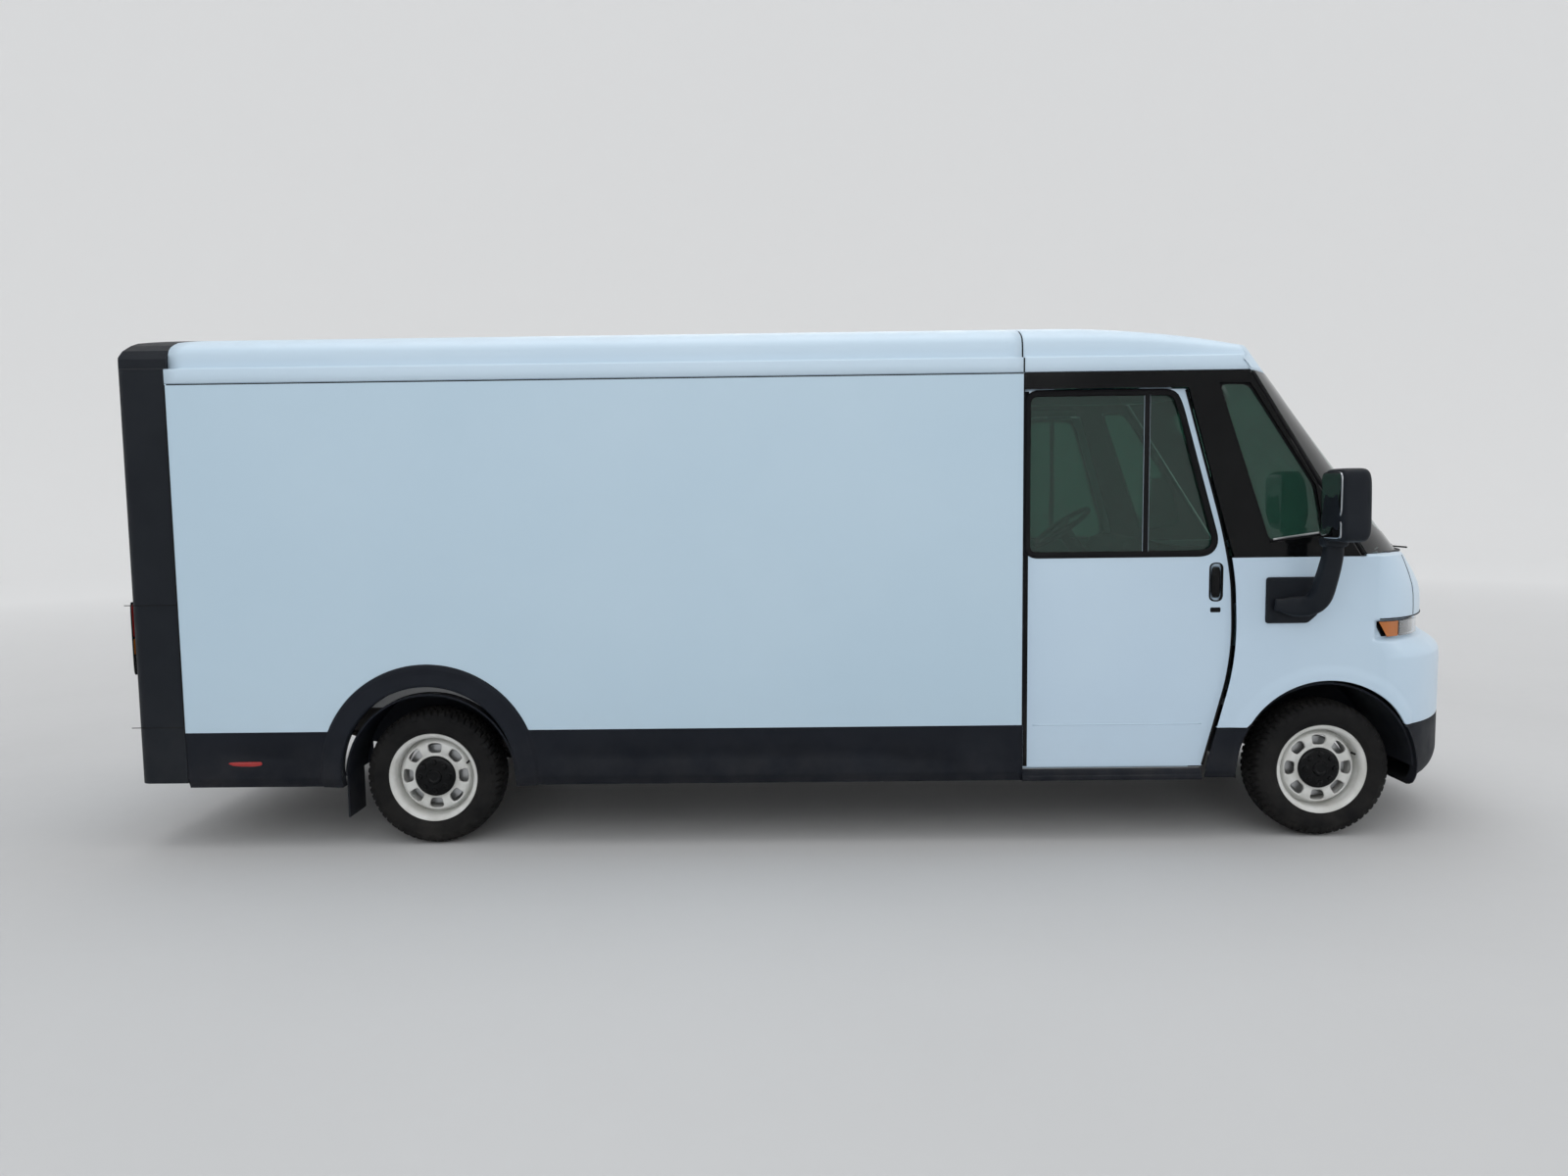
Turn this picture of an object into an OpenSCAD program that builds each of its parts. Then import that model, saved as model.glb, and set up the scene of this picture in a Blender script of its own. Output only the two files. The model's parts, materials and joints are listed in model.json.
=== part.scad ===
// Electric walk-in delivery van: a composite cargo box on a ladder frame, with a rounded cab.
// +X forward, +Y left, +Z up. The origin is on the ground under the middle of the van.

/* [Body] */
// Distance between the two axles
wheelbase = 4646; // [4300:1:5600]
// Front axle to the tip of the nose
front_overhang = 996; // [900:1:1200]
// Rear axle to the tip of the rear step
rear_overhang = 1574; // [1450:1:1900]
// Width across the side panels
body_w = 2100; // [2000:1:2520]
// Ground to the crown of the roof
body_h = 2735; // [2600:1:3300]
// Thickness of the composite side skins
skin_t = 22; // [16:1:28]
// Wall of the moulded shells
shell_t = 25; // [18:1:30]
// Front axle back to the front edge of the cargo box
cab_len = 1570; // [1500:1:1900]

/* [Wheels] */
// Outer diameter of the tyres
tyre_d = 718; // [680:1:760]
// Section width of the tyres
tyre_w = 225; // [195:1:245]
// Diameter over the rim flanges
rim_d = 467; // [440:1:480]
// Middle of the van to the outer face of the tyres
wheel_face_y = 1010; // [980:1:1020]
// Radius of the wheel spindles
spindle_r = 25; // [18:0.5:32]
// Radial clearance of every running fit
run_fit = 0.05; // [0.02:0.01:0.1]

/* [Doors] */
// Thickness of the sliding side doors
door_t = 30; // [24:1:34]
// Gap between a side door and the skin that it slides behind
door_gap = 8; // [5:1:12]
// How far a side door slides back
door_travel = 900; // [700:10:900]
// Half width of the rear doorway
rear_open_half = 888; // [700:1:900]
// Thickness of the rear doors
rear_door_t = 38; // [30:1:45]
// Radius of the rear hinge pins
hinge_pin_r = 6; // [4:0.5:8]

/* [Cab] */
// Height of the body's waist line
belt_z = 1471; // [1400:1:1550]
// Top of the load floor
floor_z = 730; // [725:1:790]
// Diameter of the steering wheel
steering_d = 430; // [380:5:480]
// Width of the driver's seat
seat_w = 500; // [440:5:540]
// Lean of the windshield from upright, in degrees
screen_lean = 39.5; // [37:0.5:42]

/* [Fasteners] */
// Radius of the shelving anchor holes in the load floor
anchor_r = 5.5; // [4:0.5:8]
// Spacing of the anchor holes along the van
anchor_pitch_x = 1200; // [800:10:1400]
// Spacing of the anchor holes across the van
anchor_pitch_y = 800; // [600:10:1000]
// Radius of the screw-in tow eye's socket
tow_bore_r = 10; // [8:0.5:14]

/* [Hidden] */
$fn = 64;

// Overall frame
half_len = (wheelbase + front_overhang + rear_overhang) / 2;
ax_f = half_len - front_overhang;
ax_r = ax_f - wheelbase;
half_w = body_w / 2;
tyre_r = tyre_d / 2;
wheel_y = wheel_face_y - tyre_w / 2;
box_front = ax_f - cab_len;
box_rear = ax_r - 1269;
hoop_rear = ax_r - 1524;

// Heights that several pieces share
rail_z = body_h - 320;
rail_top = rail_z + 75;
edge_z = body_h - 95;
skin_bottom = 620;
trim_bottom = 325;
door_bottom = 392;
door_top = rail_z - 89;
floor_t = 30;
floor_groove = 5;
frame_z = 480;
frame_h = 160;

// Planes across the van, on the right side
skin_in = half_w - skin_t;
door_out = skin_in - door_gap;
door_in = door_out - door_t;
liner_out = door_in - 15;
liner_t = 10;

// Wheel arches
arch_z = 400;
flare_out = 568;
flare_in = 453;
front_arch_r = 468;
front_arch_z = 368;
house_front = 452;
house_rear = 440;
house_t = 10;

// Nose plan: a superellipse from x0, of length a and the body's half width
nose_power = 1.7;
low_x0 = ax_f + 280;
low_a = front_overhang - 280;
up_x0 = ax_f + 230;
up_a = front_overhang - 377;
nose_step_z = 960;
bumper_top = 594;
bumper_bottom = 206;

// Windshield surface: leaning, with a cubic wrap towards the pillars
screen_x = ax_f + 657;
wrap_low = 375;
wrap_high = 235;
wrap_y = 950;
glass_t = 8;

// Roof
crown_half = 900;
crown_drop = 95;
roof_bend = ax_f - 1370;
roof_bend_len = 1233;
roof_fall = 254;

// Sliding door and its window, as x from the front axle and z
door_back = -cab_len - 40;
door_edge = [[-634, door_bottom], [-509, 864], [-489, 1066], [-501, 1367], [-551, 1617],
  [-752, door_top]];
win_back = -cab_len + 25;
win_low = belt_z + 21;
win_high = door_top - 14;
win_front_low = -620;
win_front_high = -812;
pane_split = -942;
pane_t = 5;
pane_fit = 1.5;
pane_travel = 330;

// Steering
kingpin_y = 760;
steer_x = ax_f - 1010;
steer_y = 450;
steer_z = belt_z + 119;
column_rake = 55;

// Rear hinges
hinge_x = hoop_rear - 14;
hinge_y = rear_open_half + 7;
hinge_r = 12;
rear_low = floor_z + 10;
rear_high = rail_z - 17;

// ---- helpers -------------------------------------------------------------------------------

// Points of an arc about (cx, cy) from a0 to a1 degrees
function arc(cx, cy, r, a0, a1, n = 12) =
  [for (i = [0:n]) let (a = a0 + (a1 - a0) * i / n) [cx + r * cos(a), cy + r * sin(a)]];

// Nose outline seen from above, shrunk by inset
function nose_plan(x_back, x0, a, inset, n = 18) = let (w = half_w - inset, l = a - inset)
  concat(
    [[x_back, -w]],
    [for (i = [-n:n]) let (t = 90 * i / n)
      [x0 + l * pow(cos(t), 2 / nose_power), w * sign(t) * pow(abs(sin(t)), 2 / nose_power)]],
    [[x_back, w]]
  );

// Windshield surface: x at a given y and z
function wrap_at(z) =
  wrap_low + (wrap_high - wrap_low) * (z - belt_z) / (rail_z - belt_z);
function screen_at(y, z) =
  screen_x - (z - belt_z) * tan(screen_lean) - wrap_at(z) * pow(abs(y) / wrap_y, 3);

// Roof half section from the eaves to the middle, shrunk by inset
function roof_half(inset) = concat(
  [[half_w - inset, rail_z - sign(inset)], [half_w - inset, rail_top - inset],
   [half_w - 28 - inset, rail_top + 7 - inset], [half_w - 35 - inset, rail_top + 55 - inset],
   [half_w - 65 - inset, rail_top + 100 - inset], [half_w - 110 - inset, edge_z - 18 - inset]],
  [for (i = [0:10]) let (y = (crown_half - inset) * (1 - i / 10))
    [y, body_h - inset - crown_drop * pow(y / (crown_half - inset), 2)]]
);
function mirror_y(p) = [for (i = [len(p) - 1:-1:0]) [-p[i][0], p[i][1]]];
function roof_section(inset) = concat(roof_half(inset), mirror_y(roof_half(inset)));

// Fall of the cab roof's centre line towards the windshield
function roof_line(x) =
  body_h - roof_fall * pow(max(0, x - roof_bend) / roof_bend_len, 2.2);

module at_left() { mirror([0, 1, 0]) children(); }
module both_sides() {
  children();
  at_left() children();
}
// A plate drawn in x and z, from y_in out to y_in - t
module xz_plate(y_in, t) { translate([0, y_in, 0]) rotate([90, 0, 0]) linear_extrude(t) children(); }
// A solid drawn in y and z, from x0 over a length
module yz_solid(x0, l) { translate([x0, 0, 0]) rotate([90, 0, 90]) linear_extrude(l) children(); }
module slab(p, q) { translate(p) cube(q - p); }
module rod_y(x, z, r, y0, y1) { translate([x, y0, z]) rotate([-90, 0, 0]) cylinder(r = r, h = y1 - y0); }
module rod_x(y, z, r, x0, x1) { translate([x0, y, z]) rotate([0, 90, 0]) cylinder(r = r, h = x1 - x0); }
module rod_z(x, y, r, z0, z1) { translate([x, y, z0]) cylinder(r = r, h = z1 - z0); }
module nose_solid(x_back, x0, a, inset, z0, z1) {
  translate([0, 0, z0]) linear_extrude(z1 - z0) polygon(nose_plan(x_back, x0, a, inset));
}

// Everything behind the windshield surface moved back by inset
module behind_screen(inset) {
  levels = [for (i = [0:8]) 900 + i * (body_h + 60 - 900) / 8];
  ys = [for (i = [-10:10]) i * (half_w + 5) / 10];
  n = len(ys);
  m = n + 2;
  pts = [for (z = levels) each concat(
    [for (y = ys) [screen_at(y, z) - inset, y, z]],
    [[box_front - 400, half_w + 5, z], [box_front - 400, -half_w - 5, z]])];
  polyhedron(points = pts, faces = concat(
    [[for (i = [0:m - 1]) i], [for (i = [m - 1:-1:0]) 8 * m + i]],
    [for (k = [0:7], i = [0:m - 1]) [k * m + i, (k + 1) * m + i, k * m + (i + 1) % m]],
    [for (k = [0:7], i = [0:m - 1])
      [k * m + (i + 1) % m, (k + 1) * m + i, (k + 1) * m + (i + 1) % m]]));
}

module door_outline() {
  polygon(concat([[door_back, door_top], [door_back, door_bottom]], door_edge));
}
module window_outline(x_back, inset = 0) {
  polygon([[x_back, win_low + inset], [win_front_low - inset, win_low + inset],
    [win_front_low + 40 - inset, win_low + 58], [win_front_high + 34 - inset, win_high - 64],
    [win_front_high - inset, win_high - inset], [x_back, win_high - inset]]);
}

// ---- chassis -------------------------------------------------------------------------------

frame_rear = ax_r - 1480;
frame_front = ax_f + 560;
rail_y = 420;
rail_w = 80;
spring_y = 600;
spring_half = 650;
spring_w = 70;
cross_w = 80;
tow_rise = 60;
tow_boss_r = 24;
tow_boss_len = 70;
frame_room = 12;

module chassis_frame() {
  color("#2b2d30") difference() {
    union() {
      for (s = [-1, 1])
        slab([frame_rear, s * rail_y - rail_w / 2, frame_z],
          [frame_front, s * rail_y + rail_w / 2, frame_z + frame_h]);
      for (x = [frame_rear, ax_r - 420, ax_r + 420, ax_r + 1500, ax_f - 1200, frame_front - cross_w])
        slab([x, -rail_y, frame_z + 20], [x + cross_w, rail_y, frame_z + frame_h - 20]);
      for (s = [-1, 1], x = [ax_r - spring_half, ax_r + spring_half])
        slab([x - 40, s > 0 ? rail_y : -spring_y - spring_w / 2, frame_z + frame_h - 50],
          [x + 40, s > 0 ? spring_y + spring_w / 2 : -rail_y, frame_z + frame_h]);
      rod_x(-rail_y, frame_z + tow_rise, tow_boss_r, frame_front - 5, frame_front + tow_boss_len);
    }
    rod_x(-rail_y, frame_z + tow_rise, tow_bore_r, frame_front + 10, frame_front + tow_boss_len + 1);
  }
}

module battery_pack() {
  color("#4a4d50") {
    difference() {
      slab([ax_r + 560, -680, 332], [ax_f - 640, 680, frame_z - 3]);
      for (i = [1:6])
        slab([ax_r + 560 + i * 480, -700, 320], [ax_r + 580 + i * 480, 700, 340]);
    }
  }
}

module leaf_spring() {
  leaf_r = 1800;
  leaf_z = tyre_r + 60;
  for (i = [0:2])
    translate([ax_r, spring_y + spring_w / 2, leaf_z + leaf_r]) rotate([90, 0, 0])
      linear_extrude(spring_w) difference() {
        intersection() {
          circle(r = leaf_r - i * 11, $fn = 180);
          translate([-spring_half + i * 150, -leaf_r]) square([2 * (spring_half - i * 150), leaf_r]);
        }
        circle(r = leaf_r - i * 11 - 10, $fn = 180);
      }
}

module rear_axle() {
  color("#33363a") union() {
    rod_y(ax_r, tyre_r, 55, -kingpin_y, kingpin_y);
    rod_y(ax_r, tyre_r, 135, -140, 140);
    rod_x(0, tyre_r, 90, ax_r, ax_r + 300);
    rod_y(ax_r, tyre_r, spindle_r, -wheel_y - 20, wheel_y + 20);
    for (s = [-1, 1])
      slab([ax_r - 50, s * spring_y - 45, tyre_r], [ax_r + 50, s * spring_y + 45, tyre_r + 59.5]);
  }
  color("#1f2124") both_sides() leaf_spring();
}

arm_low = 262;
arm_high = frame_z - 8;
pin_r = 14;

module control_arms() {
  difference() {
    union() {
      yz_solid(ax_f - 35, 70) polygon([[rail_y - 20, 330], [rail_y - 20, 385], [kingpin_y - 60, arm_low],
        [kingpin_y, arm_low], [kingpin_y, arm_low - 30], [kingpin_y - 60, arm_low - 30]]);
      yz_solid(ax_f - 35, 70) polygon([[rail_y + rail_w / 2, frame_z + 10],
        [rail_y + rail_w / 2, frame_z + 90], [kingpin_y - 60, arm_high + 28],
        [kingpin_y, arm_high + 28], [kingpin_y, arm_high], [kingpin_y - 60, arm_high]]);
      rod_z(ax_f, kingpin_y, 38, arm_low - 30, arm_low);
      rod_z(ax_f, kingpin_y, 38, arm_high, arm_high + 28);
      rod_z(ax_f, kingpin_y, pin_r, arm_low - 5, arm_low + 38);
      rod_z(ax_f, kingpin_y, pin_r, arm_high - 32, arm_high + 5);
    }
  }
}

module front_subframe() {
  color("#33363a") union() {
    slab([ax_f - 110, -rail_y - 25, 330], [ax_f + 110, rail_y + 25, frame_z - 1]);
    both_sides() control_arms();
    rod_y(ax_f - 140, 400, 32, -360, 360);
  }
}

module knuckle() {
  color("#55585c") difference() {
    union() {
      slab([ax_f - 36, kingpin_y - 36, arm_low + 0.6], [ax_f + 36, kingpin_y + 40, arm_high - 0.6]);
      rod_y(ax_f, tyre_r, spindle_r, kingpin_y, wheel_y + 20);
      rod_y(ax_f, tyre_r, 60, kingpin_y + 30, kingpin_y + 45);
      slab([ax_f - 150, kingpin_y - 30, 300], [ax_f - 20, kingpin_y, 322]);
    }
    rod_z(ax_f, kingpin_y, pin_r + run_fit, arm_low, arm_low + 40);
    rod_z(ax_f, kingpin_y, pin_r + run_fit, arm_high - 34, arm_high);
  }
}
module knuckle_left() { knuckle(); }
module knuckle_right() { at_left() knuckle(); }

// ---- wheels --------------------------------------------------------------------------------

barrel_r = rim_d / 2 - 20;
face_y = tyre_w / 2;
bead_y = face_y - 15;

module tyre() {
  w = face_y;
  color("#1b1c1e") rotate([-90, 0, 0]) rotate_extrude($fn = 96) polygon(concat(
    [[barrel_r + 0.4, -bead_y + 0.4], [rim_d / 2 + 1, -bead_y + 0.4], [rim_d / 2 + 8, -w + 5],
     [tyre_r - 69, -w], [tyre_r - 24, -w + 5], [tyre_r - 7, -w + 21], [tyre_r, -w + 45]],
    [[tyre_r, w - 45], [tyre_r - 7, w - 21], [tyre_r - 24, w - 5], [tyre_r - 69, w],
     [rim_d / 2 + 8, w - 5], [rim_d / 2 + 1, bead_y - 0.4], [barrel_r + 0.4, bead_y - 0.4]]));
}

disc_y = 32;
module rim() {
  color("#eef0f0") difference() {
    rotate([-90, 0, 0]) rotate_extrude($fn = 96) polygon([
      [spindle_r + run_fit, -38], [60, -38], [60, disc_y - 6], [150, disc_y + 14], [barrel_r - 8, disc_y],
      [barrel_r - 8, -bead_y], [rim_d / 2, -bead_y - 6], [rim_d / 2, -bead_y],
      [barrel_r, -bead_y], [barrel_r, bead_y], [rim_d / 2, bead_y], [rim_d / 2, bead_y + 6],
      [barrel_r - 8, bead_y], [barrel_r - 8, disc_y + 12], [150, disc_y + 26], [104, disc_y + 10],
      [spindle_r + run_fit, disc_y + 10]]);
    for (i = [0:7])
      rotate([0, i * 45 + 22.5, 0]) rotate([-90, 0, 0]) linear_extrude(90)
        polygon([[128, -24], [142, -34], [176, -44], [184, -34],
          [184, 34], [176, 44], [142, 34], [128, 24]]);
  }
  color("#1d1f22") rotate([-90, 0, 0]) rotate_extrude($fn = 96)
    polygon([[0, disc_y + 11], [102, disc_y + 11], [102, disc_y + 30], [70, disc_y + 36],
      [62, disc_y + 60], [0, disc_y + 64]]);
}
module at_wheel(x, s) { translate([x, s * wheel_y, tyre_r]) mirror([0, s > 0 ? 0 : 1, 0]) children(); }
module tyre_front_left() { at_wheel(ax_f, 1) tyre(); }
module tyre_front_right() { at_wheel(ax_f, -1) tyre(); }
module tyre_rear_left() { at_wheel(ax_r, 1) tyre(); }
module tyre_rear_right() { at_wheel(ax_r, -1) tyre(); }
module wheel_front_left() { at_wheel(ax_f, 1) rim(); }
module wheel_front_right() { at_wheel(ax_f, -1) rim(); }
module wheel_rear_left() { at_wheel(ax_r, 1) rim(); }
module wheel_rear_right() { at_wheel(ax_r, -1) rim(); }

// ---- cargo box -----------------------------------------------------------------------------

well_back = ax_f - 1530;
well_front = ax_f - 640;
well_y = 700;
floor_side = liner_out - liner_t - 5;
floor_front = ax_f - 70;
house_in_rear = 740;
house_in_front = 555;

module floor_plate() {
  difference() {
    slab([hoop_rear + rear_door_t + 7, -floor_side, floor_z - floor_t], [floor_front, floor_side, floor_z]);
    both_sides() {
      slab([ax_r - house_rear - 15, house_in_rear - 5, 0], [ax_r + house_rear + 15, half_w, floor_z + 1]);
      slab([well_back, well_y, 0], [well_front, half_w, floor_z + 1]);
      slab([ax_f - house_front - 15, house_in_front - 5, 0], [ax_f, half_w, floor_z + 1]);
    }
    for (sx = [-1, 1], sy = [-1, 1])
      rod_z(anchor_x + sx * anchor_pitch_x / 2, sy * anchor_pitch_y / 2, anchor_r, 0, floor_z + 1);
    slab([bulkhead_x - 2 * floor_groove, -half_w, floor_z - floor_groove],
      [bulkhead_x - floor_groove, half_w, floor_z + 1]);
  }
}
anchor_x = ax_r + 1700;

module floor() {
  color("#8d9092") union() {
    floor_plate();
    both_sides() {
      slab([well_back, well_y, door_bottom - 12], [well_front, door_in - 6, door_bottom]);
      slab([well_back, well_y - 8, door_bottom - 12], [well_front, well_y, floor_z - floor_t]);
      slab([well_back - 8, well_y - 8, door_bottom - 12], [well_back, door_in - 6, floor_z - 1]);
      slab([well_front, well_y - 8, door_bottom - 12], [well_front + 8, door_in - 6, floor_z - 1]);
    }
  }
}

module side_panel() {
  color("#e8eef2") xz_plate(-skin_in, skin_t) difference() {
    translate([box_rear, skin_bottom]) square([box_front - box_rear, rail_z - skin_bottom]);
    translate([ax_r, arch_z]) circle(r = flare_out);
  }
}
module side_panel_right() { side_panel(); }
module side_panel_left() { at_left() side_panel(); }

module cargo_liners() {
  color("#c9ccce") both_sides() xz_plate(-liner_out + liner_t, liner_t) difference() {
    translate([box_rear - 180, floor_z + 1])
      square([bulkhead_x - box_rear + 180, rail_z - floor_z - 40]);
    translate([ax_r, tyre_r]) circle(r = house_rear + house_t + 3);
  }
}

module box_roof() {
  color("#e4ebf0") difference() {
    yz_solid(box_rear, box_front - box_rear) polygon(roof_section(0));
    yz_solid(box_rear - 1, box_front - box_rear + 2) polygon(roof_section(shell_t));
  }
}

// ---- rear ----------------------------------------------------------------------------------

hoop_low = 354;
step_half = 900;
step_z = 460;
step_t = 55;
hoop_corner = 60;
hoop_top_r = 180;

module hoop_outline() {
  polygon(concat([[half_w, hoop_low]], roof_half(0), mirror_y(roof_half(0)), [[-half_w, hoop_low]]));
}
module hoop_inside() {
  polygon(concat([[half_w - shell_t, hoop_low - 1]], roof_half(shell_t),
    mirror_y(roof_half(shell_t)), [[-half_w + shell_t, hoop_low - 1]]));
}

module rear_frame() {
  wall = 30;
  color("#202226") difference() {
    union() {
      difference() {
        intersection() {
          yz_solid(hoop_rear, box_rear - hoop_rear) hoop_outline();
          translate([0, half_w, 0]) rotate([90, 0, 0]) linear_extrude(body_w) polygon(concat(
            [[box_rear, 0], [box_rear, body_h]],
            arc(hoop_rear + hoop_top_r, edge_z + 60 - hoop_top_r, hoop_top_r, 90, 180),
            [[hoop_rear, 0]]));
          linear_extrude(body_h) polygon(concat([[box_rear, half_w]],
            arc(hoop_rear + hoop_corner, half_w - hoop_corner, hoop_corner, 90, 180),
            arc(hoop_rear + hoop_corner, hoop_corner - half_w, hoop_corner, 180, 270),
            [[box_rear, -half_w]]));
        }
        intersection() {
          yz_solid(hoop_rear + wall, box_rear - hoop_rear) hoop_inside();
          slab([hoop_rear, -half_w, 0], [box_rear + 1, half_w, edge_z - 60]);
        }
        slab([hoop_rear - 1, -rear_open_half, floor_z + 6],
          [box_rear, rear_open_half, rail_z - 12]);
      }
      both_sides() for (z = hinge_levels) {
        slab([hinge_x + 4, -hinge_y - 45, z + 50], [hoop_rear + 1, -hinge_y, z + 90]);
        rod_z(hinge_x, -hinge_y, hinge_r, z + 50, z + 90);
      }
    }
    both_sides() for (z = hinge_levels)
      rod_z(hinge_x, -hinge_y, hinge_pin_r + run_fit, z + 49, z + 91);
  }
}
hinge_levels = [rear_low + 110, (rear_low + rear_high) / 2 - 45, rear_high - 200];

module rear_door() {
  color("#e6ecf0") union() {
    difference() {
      slab([hoop_rear, -rear_open_half + 4, rear_low], [hoop_rear + rear_door_t, -2, rear_high]);
      slab([hoop_rear + 6, -rear_open_half + 60, rear_low + 60],
        [hoop_rear + rear_door_t + 1, -60, (rear_low + rear_high) / 2 - 40]);
      slab([hoop_rear + 6, -rear_open_half + 60, (rear_low + rear_high) / 2 + 40],
        [hoop_rear + rear_door_t + 1, -60, rear_high - 60]);
    }
    for (z = hinge_levels) {
      slab([hinge_x + 4, -hinge_y, z + 4], [hoop_rear - 0.5, -rear_open_half + 8, z + 49]);
      slab([hinge_x + 4, -rear_open_half + 7, z + 4], [hoop_rear + 1, -hinge_y + 70, z + 49]);
      rod_z(hinge_x, -hinge_y, hinge_r, z + 4, z + 49);
      rod_z(hinge_x, -hinge_y, hinge_pin_r, z + 4, z + 95);
    }
  }
}
module rear_door_right() { rear_door(); }
module rear_door_left() { at_left() rear_door(); }

latch_y = -90;
latch_z = floor_z + 420;
module rear_latch() {
  color("#2a2c2f") union() {
    rod_x(latch_y, latch_z, 26, hoop_rear - 12, hoop_rear - 1);
    slab([hoop_rear - 24, latch_y - 170, latch_z - 14], [hoop_rear - 11, latch_y + 20, latch_z + 14]);
  }
}

module rear_step() {
  color("#232528") difference() {
    slab([-half_len, -step_half, step_z - step_t], [hoop_rear - 1, step_half, step_z]);
    for (i = [-8:8])
      slab([-half_len + 10, i * 100 - 30, step_z - 8], [hoop_rear - 12, i * 100 + 30, step_z + 1]);
  }
}

module rear_lamps() {
  color("#a01818") both_sides()
    slab([hoop_rear - 6, -985, floor_z + 200], [hoop_rear - 0.3, -950, floor_z + 560]);
  color("#a01818") both_sides()
    slab([ax_r - 1108, -half_w - 3, 433], [ax_r - 877, -half_w - 0.3, 463]);
}

// ---- outer trims ---------------------------------------------------------------------------

flare_proud = 28;
module side_trims() {
  color("#24262b") both_sides() difference() {
    union() {
      xz_plate(-skin_in, skin_t) difference() {
        polygon([[box_rear + 1, trim_bottom], [box_rear + 1, skin_bottom - 1],
          [box_front - 1, skin_bottom - 1], [box_front + 38, door_bottom - 6],
          [ax_f - 630, door_bottom - 6], [ax_f - 572, bumper_top],
          [ax_f, bumper_top], [ax_f, trim_bottom]]);
        translate([ax_r, arch_z]) circle(r = flare_out - 1);
        translate([ax_f, front_arch_z]) circle(r = front_arch_r);
      }
      intersection() {
        xz_plate(-skin_in, skin_t + flare_proud) translate([ax_r, arch_z]) circle(r = flare_out - 1);
        slab([ax_r - 600, -half_w - 100, trim_bottom], [ax_r + 600, 0, 1200]);
      }
    }
    rod_y(ax_r, arch_z, flare_in, -half_w - 100, 0);
  }
}

module front_bumper() {
  color("#24262b") difference() {
    nose_solid(ax_f, low_x0, low_a, 0, bumper_bottom, bumper_top);
    translate([0, 0, -shell_t]) nose_solid(ax_f - 1, low_x0, low_a, shell_t, bumper_bottom, bumper_top);
    both_sides() rod_y(ax_f, front_arch_z, front_arch_r, house_in_front - 20, half_w + 10);
    slab([ax_f - 1, -half_w, 0], [ax_f + 420, half_w, body_h]);
    slab([ax_f, -rail_y - rail_w / 2 - frame_room, frame_z - frame_room],
      [frame_front + tow_boss_len + frame_room, rail_y + rail_w / 2 + frame_room,
       frame_z + frame_h + frame_room]);
    rod_x(-rail_y, frame_z + tow_rise, 32, frame_front + 80, half_len + 10);
  }
}

module wheel_house(r, y_in, y_out, z_low, wall_low) {
  difference() {
    rod_y(0, tyre_r, r + house_t, y_in, y_out);
    rod_y(0, tyre_r, r, y_in + 6, y_out + 1);
    slab([-600, y_in - 1, -600], [600, y_out + 1, z_low]);
    slab([-r + 30, y_in - 1, z_low - 1], [r - 30, y_in + 20, wall_low]);
  }
}
module arch_liners() {
  color("#17181a") both_sides() {
    translate([ax_r, 0, 0]) wheel_house(house_rear, house_in_rear, skin_in - 1, 380, 500);
    translate([ax_f, 0, 0]) wheel_house(house_front, house_in_front, skin_in - 5, 380, 560);
    slab([ax_r - 455, wheel_y - 110, 150], [ax_r - 447, wheel_y + 100, 378]);
  }
}

module front_lamps() {
  lamp_low = 1035;
  lamp_high = 1120;
  split = ax_f + 390;
  color("#d9dde0") both_sides() lamp_band(split + 3, ax_f + 520, lamp_low, lamp_high);
  color("#e08a1e") both_sides() lamp_band(ax_f + 290, split, lamp_low, lamp_high);
}
module lamp_band(x0, x1, z0, z1) {
  intersection() {
    difference() {
      nose_solid(ax_f, up_x0, up_a, -14, z0, z1);
      nose_solid(ax_f - 1, up_x0, up_a, -1, z0 - 1, z1 + 1);
    }
    slab([x0, 300, z0 - 1], [x1, half_w + 20, z1 + 1]);
  }
}

// ---- cab -----------------------------------------------------------------------------------

module cab_core(inset) {
  intersection() {
    union() {
      nose_solid(ax_f - 800, low_x0, low_a, inset, bumper_top + 2, nose_step_z - inset);
      nose_solid(ax_f - 800, up_x0, up_a, inset, bumper_top + 2, belt_z - inset);
    }
    union() {
      behind_screen(inset);
      slab([ax_f - 900, -half_w - 1, 0], [half_len + 10, half_w + 1, nose_step_z + 1]);
    }
  }
}
flap_x = ax_f - 40;
flap_z = belt_z - 321;
flap_w = 150;
flap_hinge_x = flap_x + flap_w - 6;
flap_hinge_y = half_w + 1;
flap_arm_half = 3;
flap_arm_w = 14;
flap_arms = [flap_z + 22, flap_z + 112];
module cab_body() {
  color("#f0f3f5") difference() {
    cab_core(0);
    translate([0, 0, -1]) cab_core(shell_t);
    slab([ax_f - 900, -half_w + shell_t, bumper_top], [ax_f + 200, half_w - shell_t, belt_z + 1]);
    both_sides() {
      rod_y(ax_f, front_arch_z, front_arch_r, house_in_front - 20, half_w + 10);
      at_left() translate([0, -door_in + 100, 0]) rotate([90, 0, 0]) linear_extrude(300)
        polygon([[ax_f - 900, 0], [ax_f - 900, belt_z + 10], for (p = [4:-1:0]) [ax_f + door_edge[p][0] + 6,
          p == 4 ? belt_z + 10 : door_edge[p][1]], [ax_f - 634, 0]]);
    }
    slab([flap_x, half_w - 60, flap_z], [flap_x + flap_w, half_w + 10, flap_z + flap_w]);
  }
}

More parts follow.
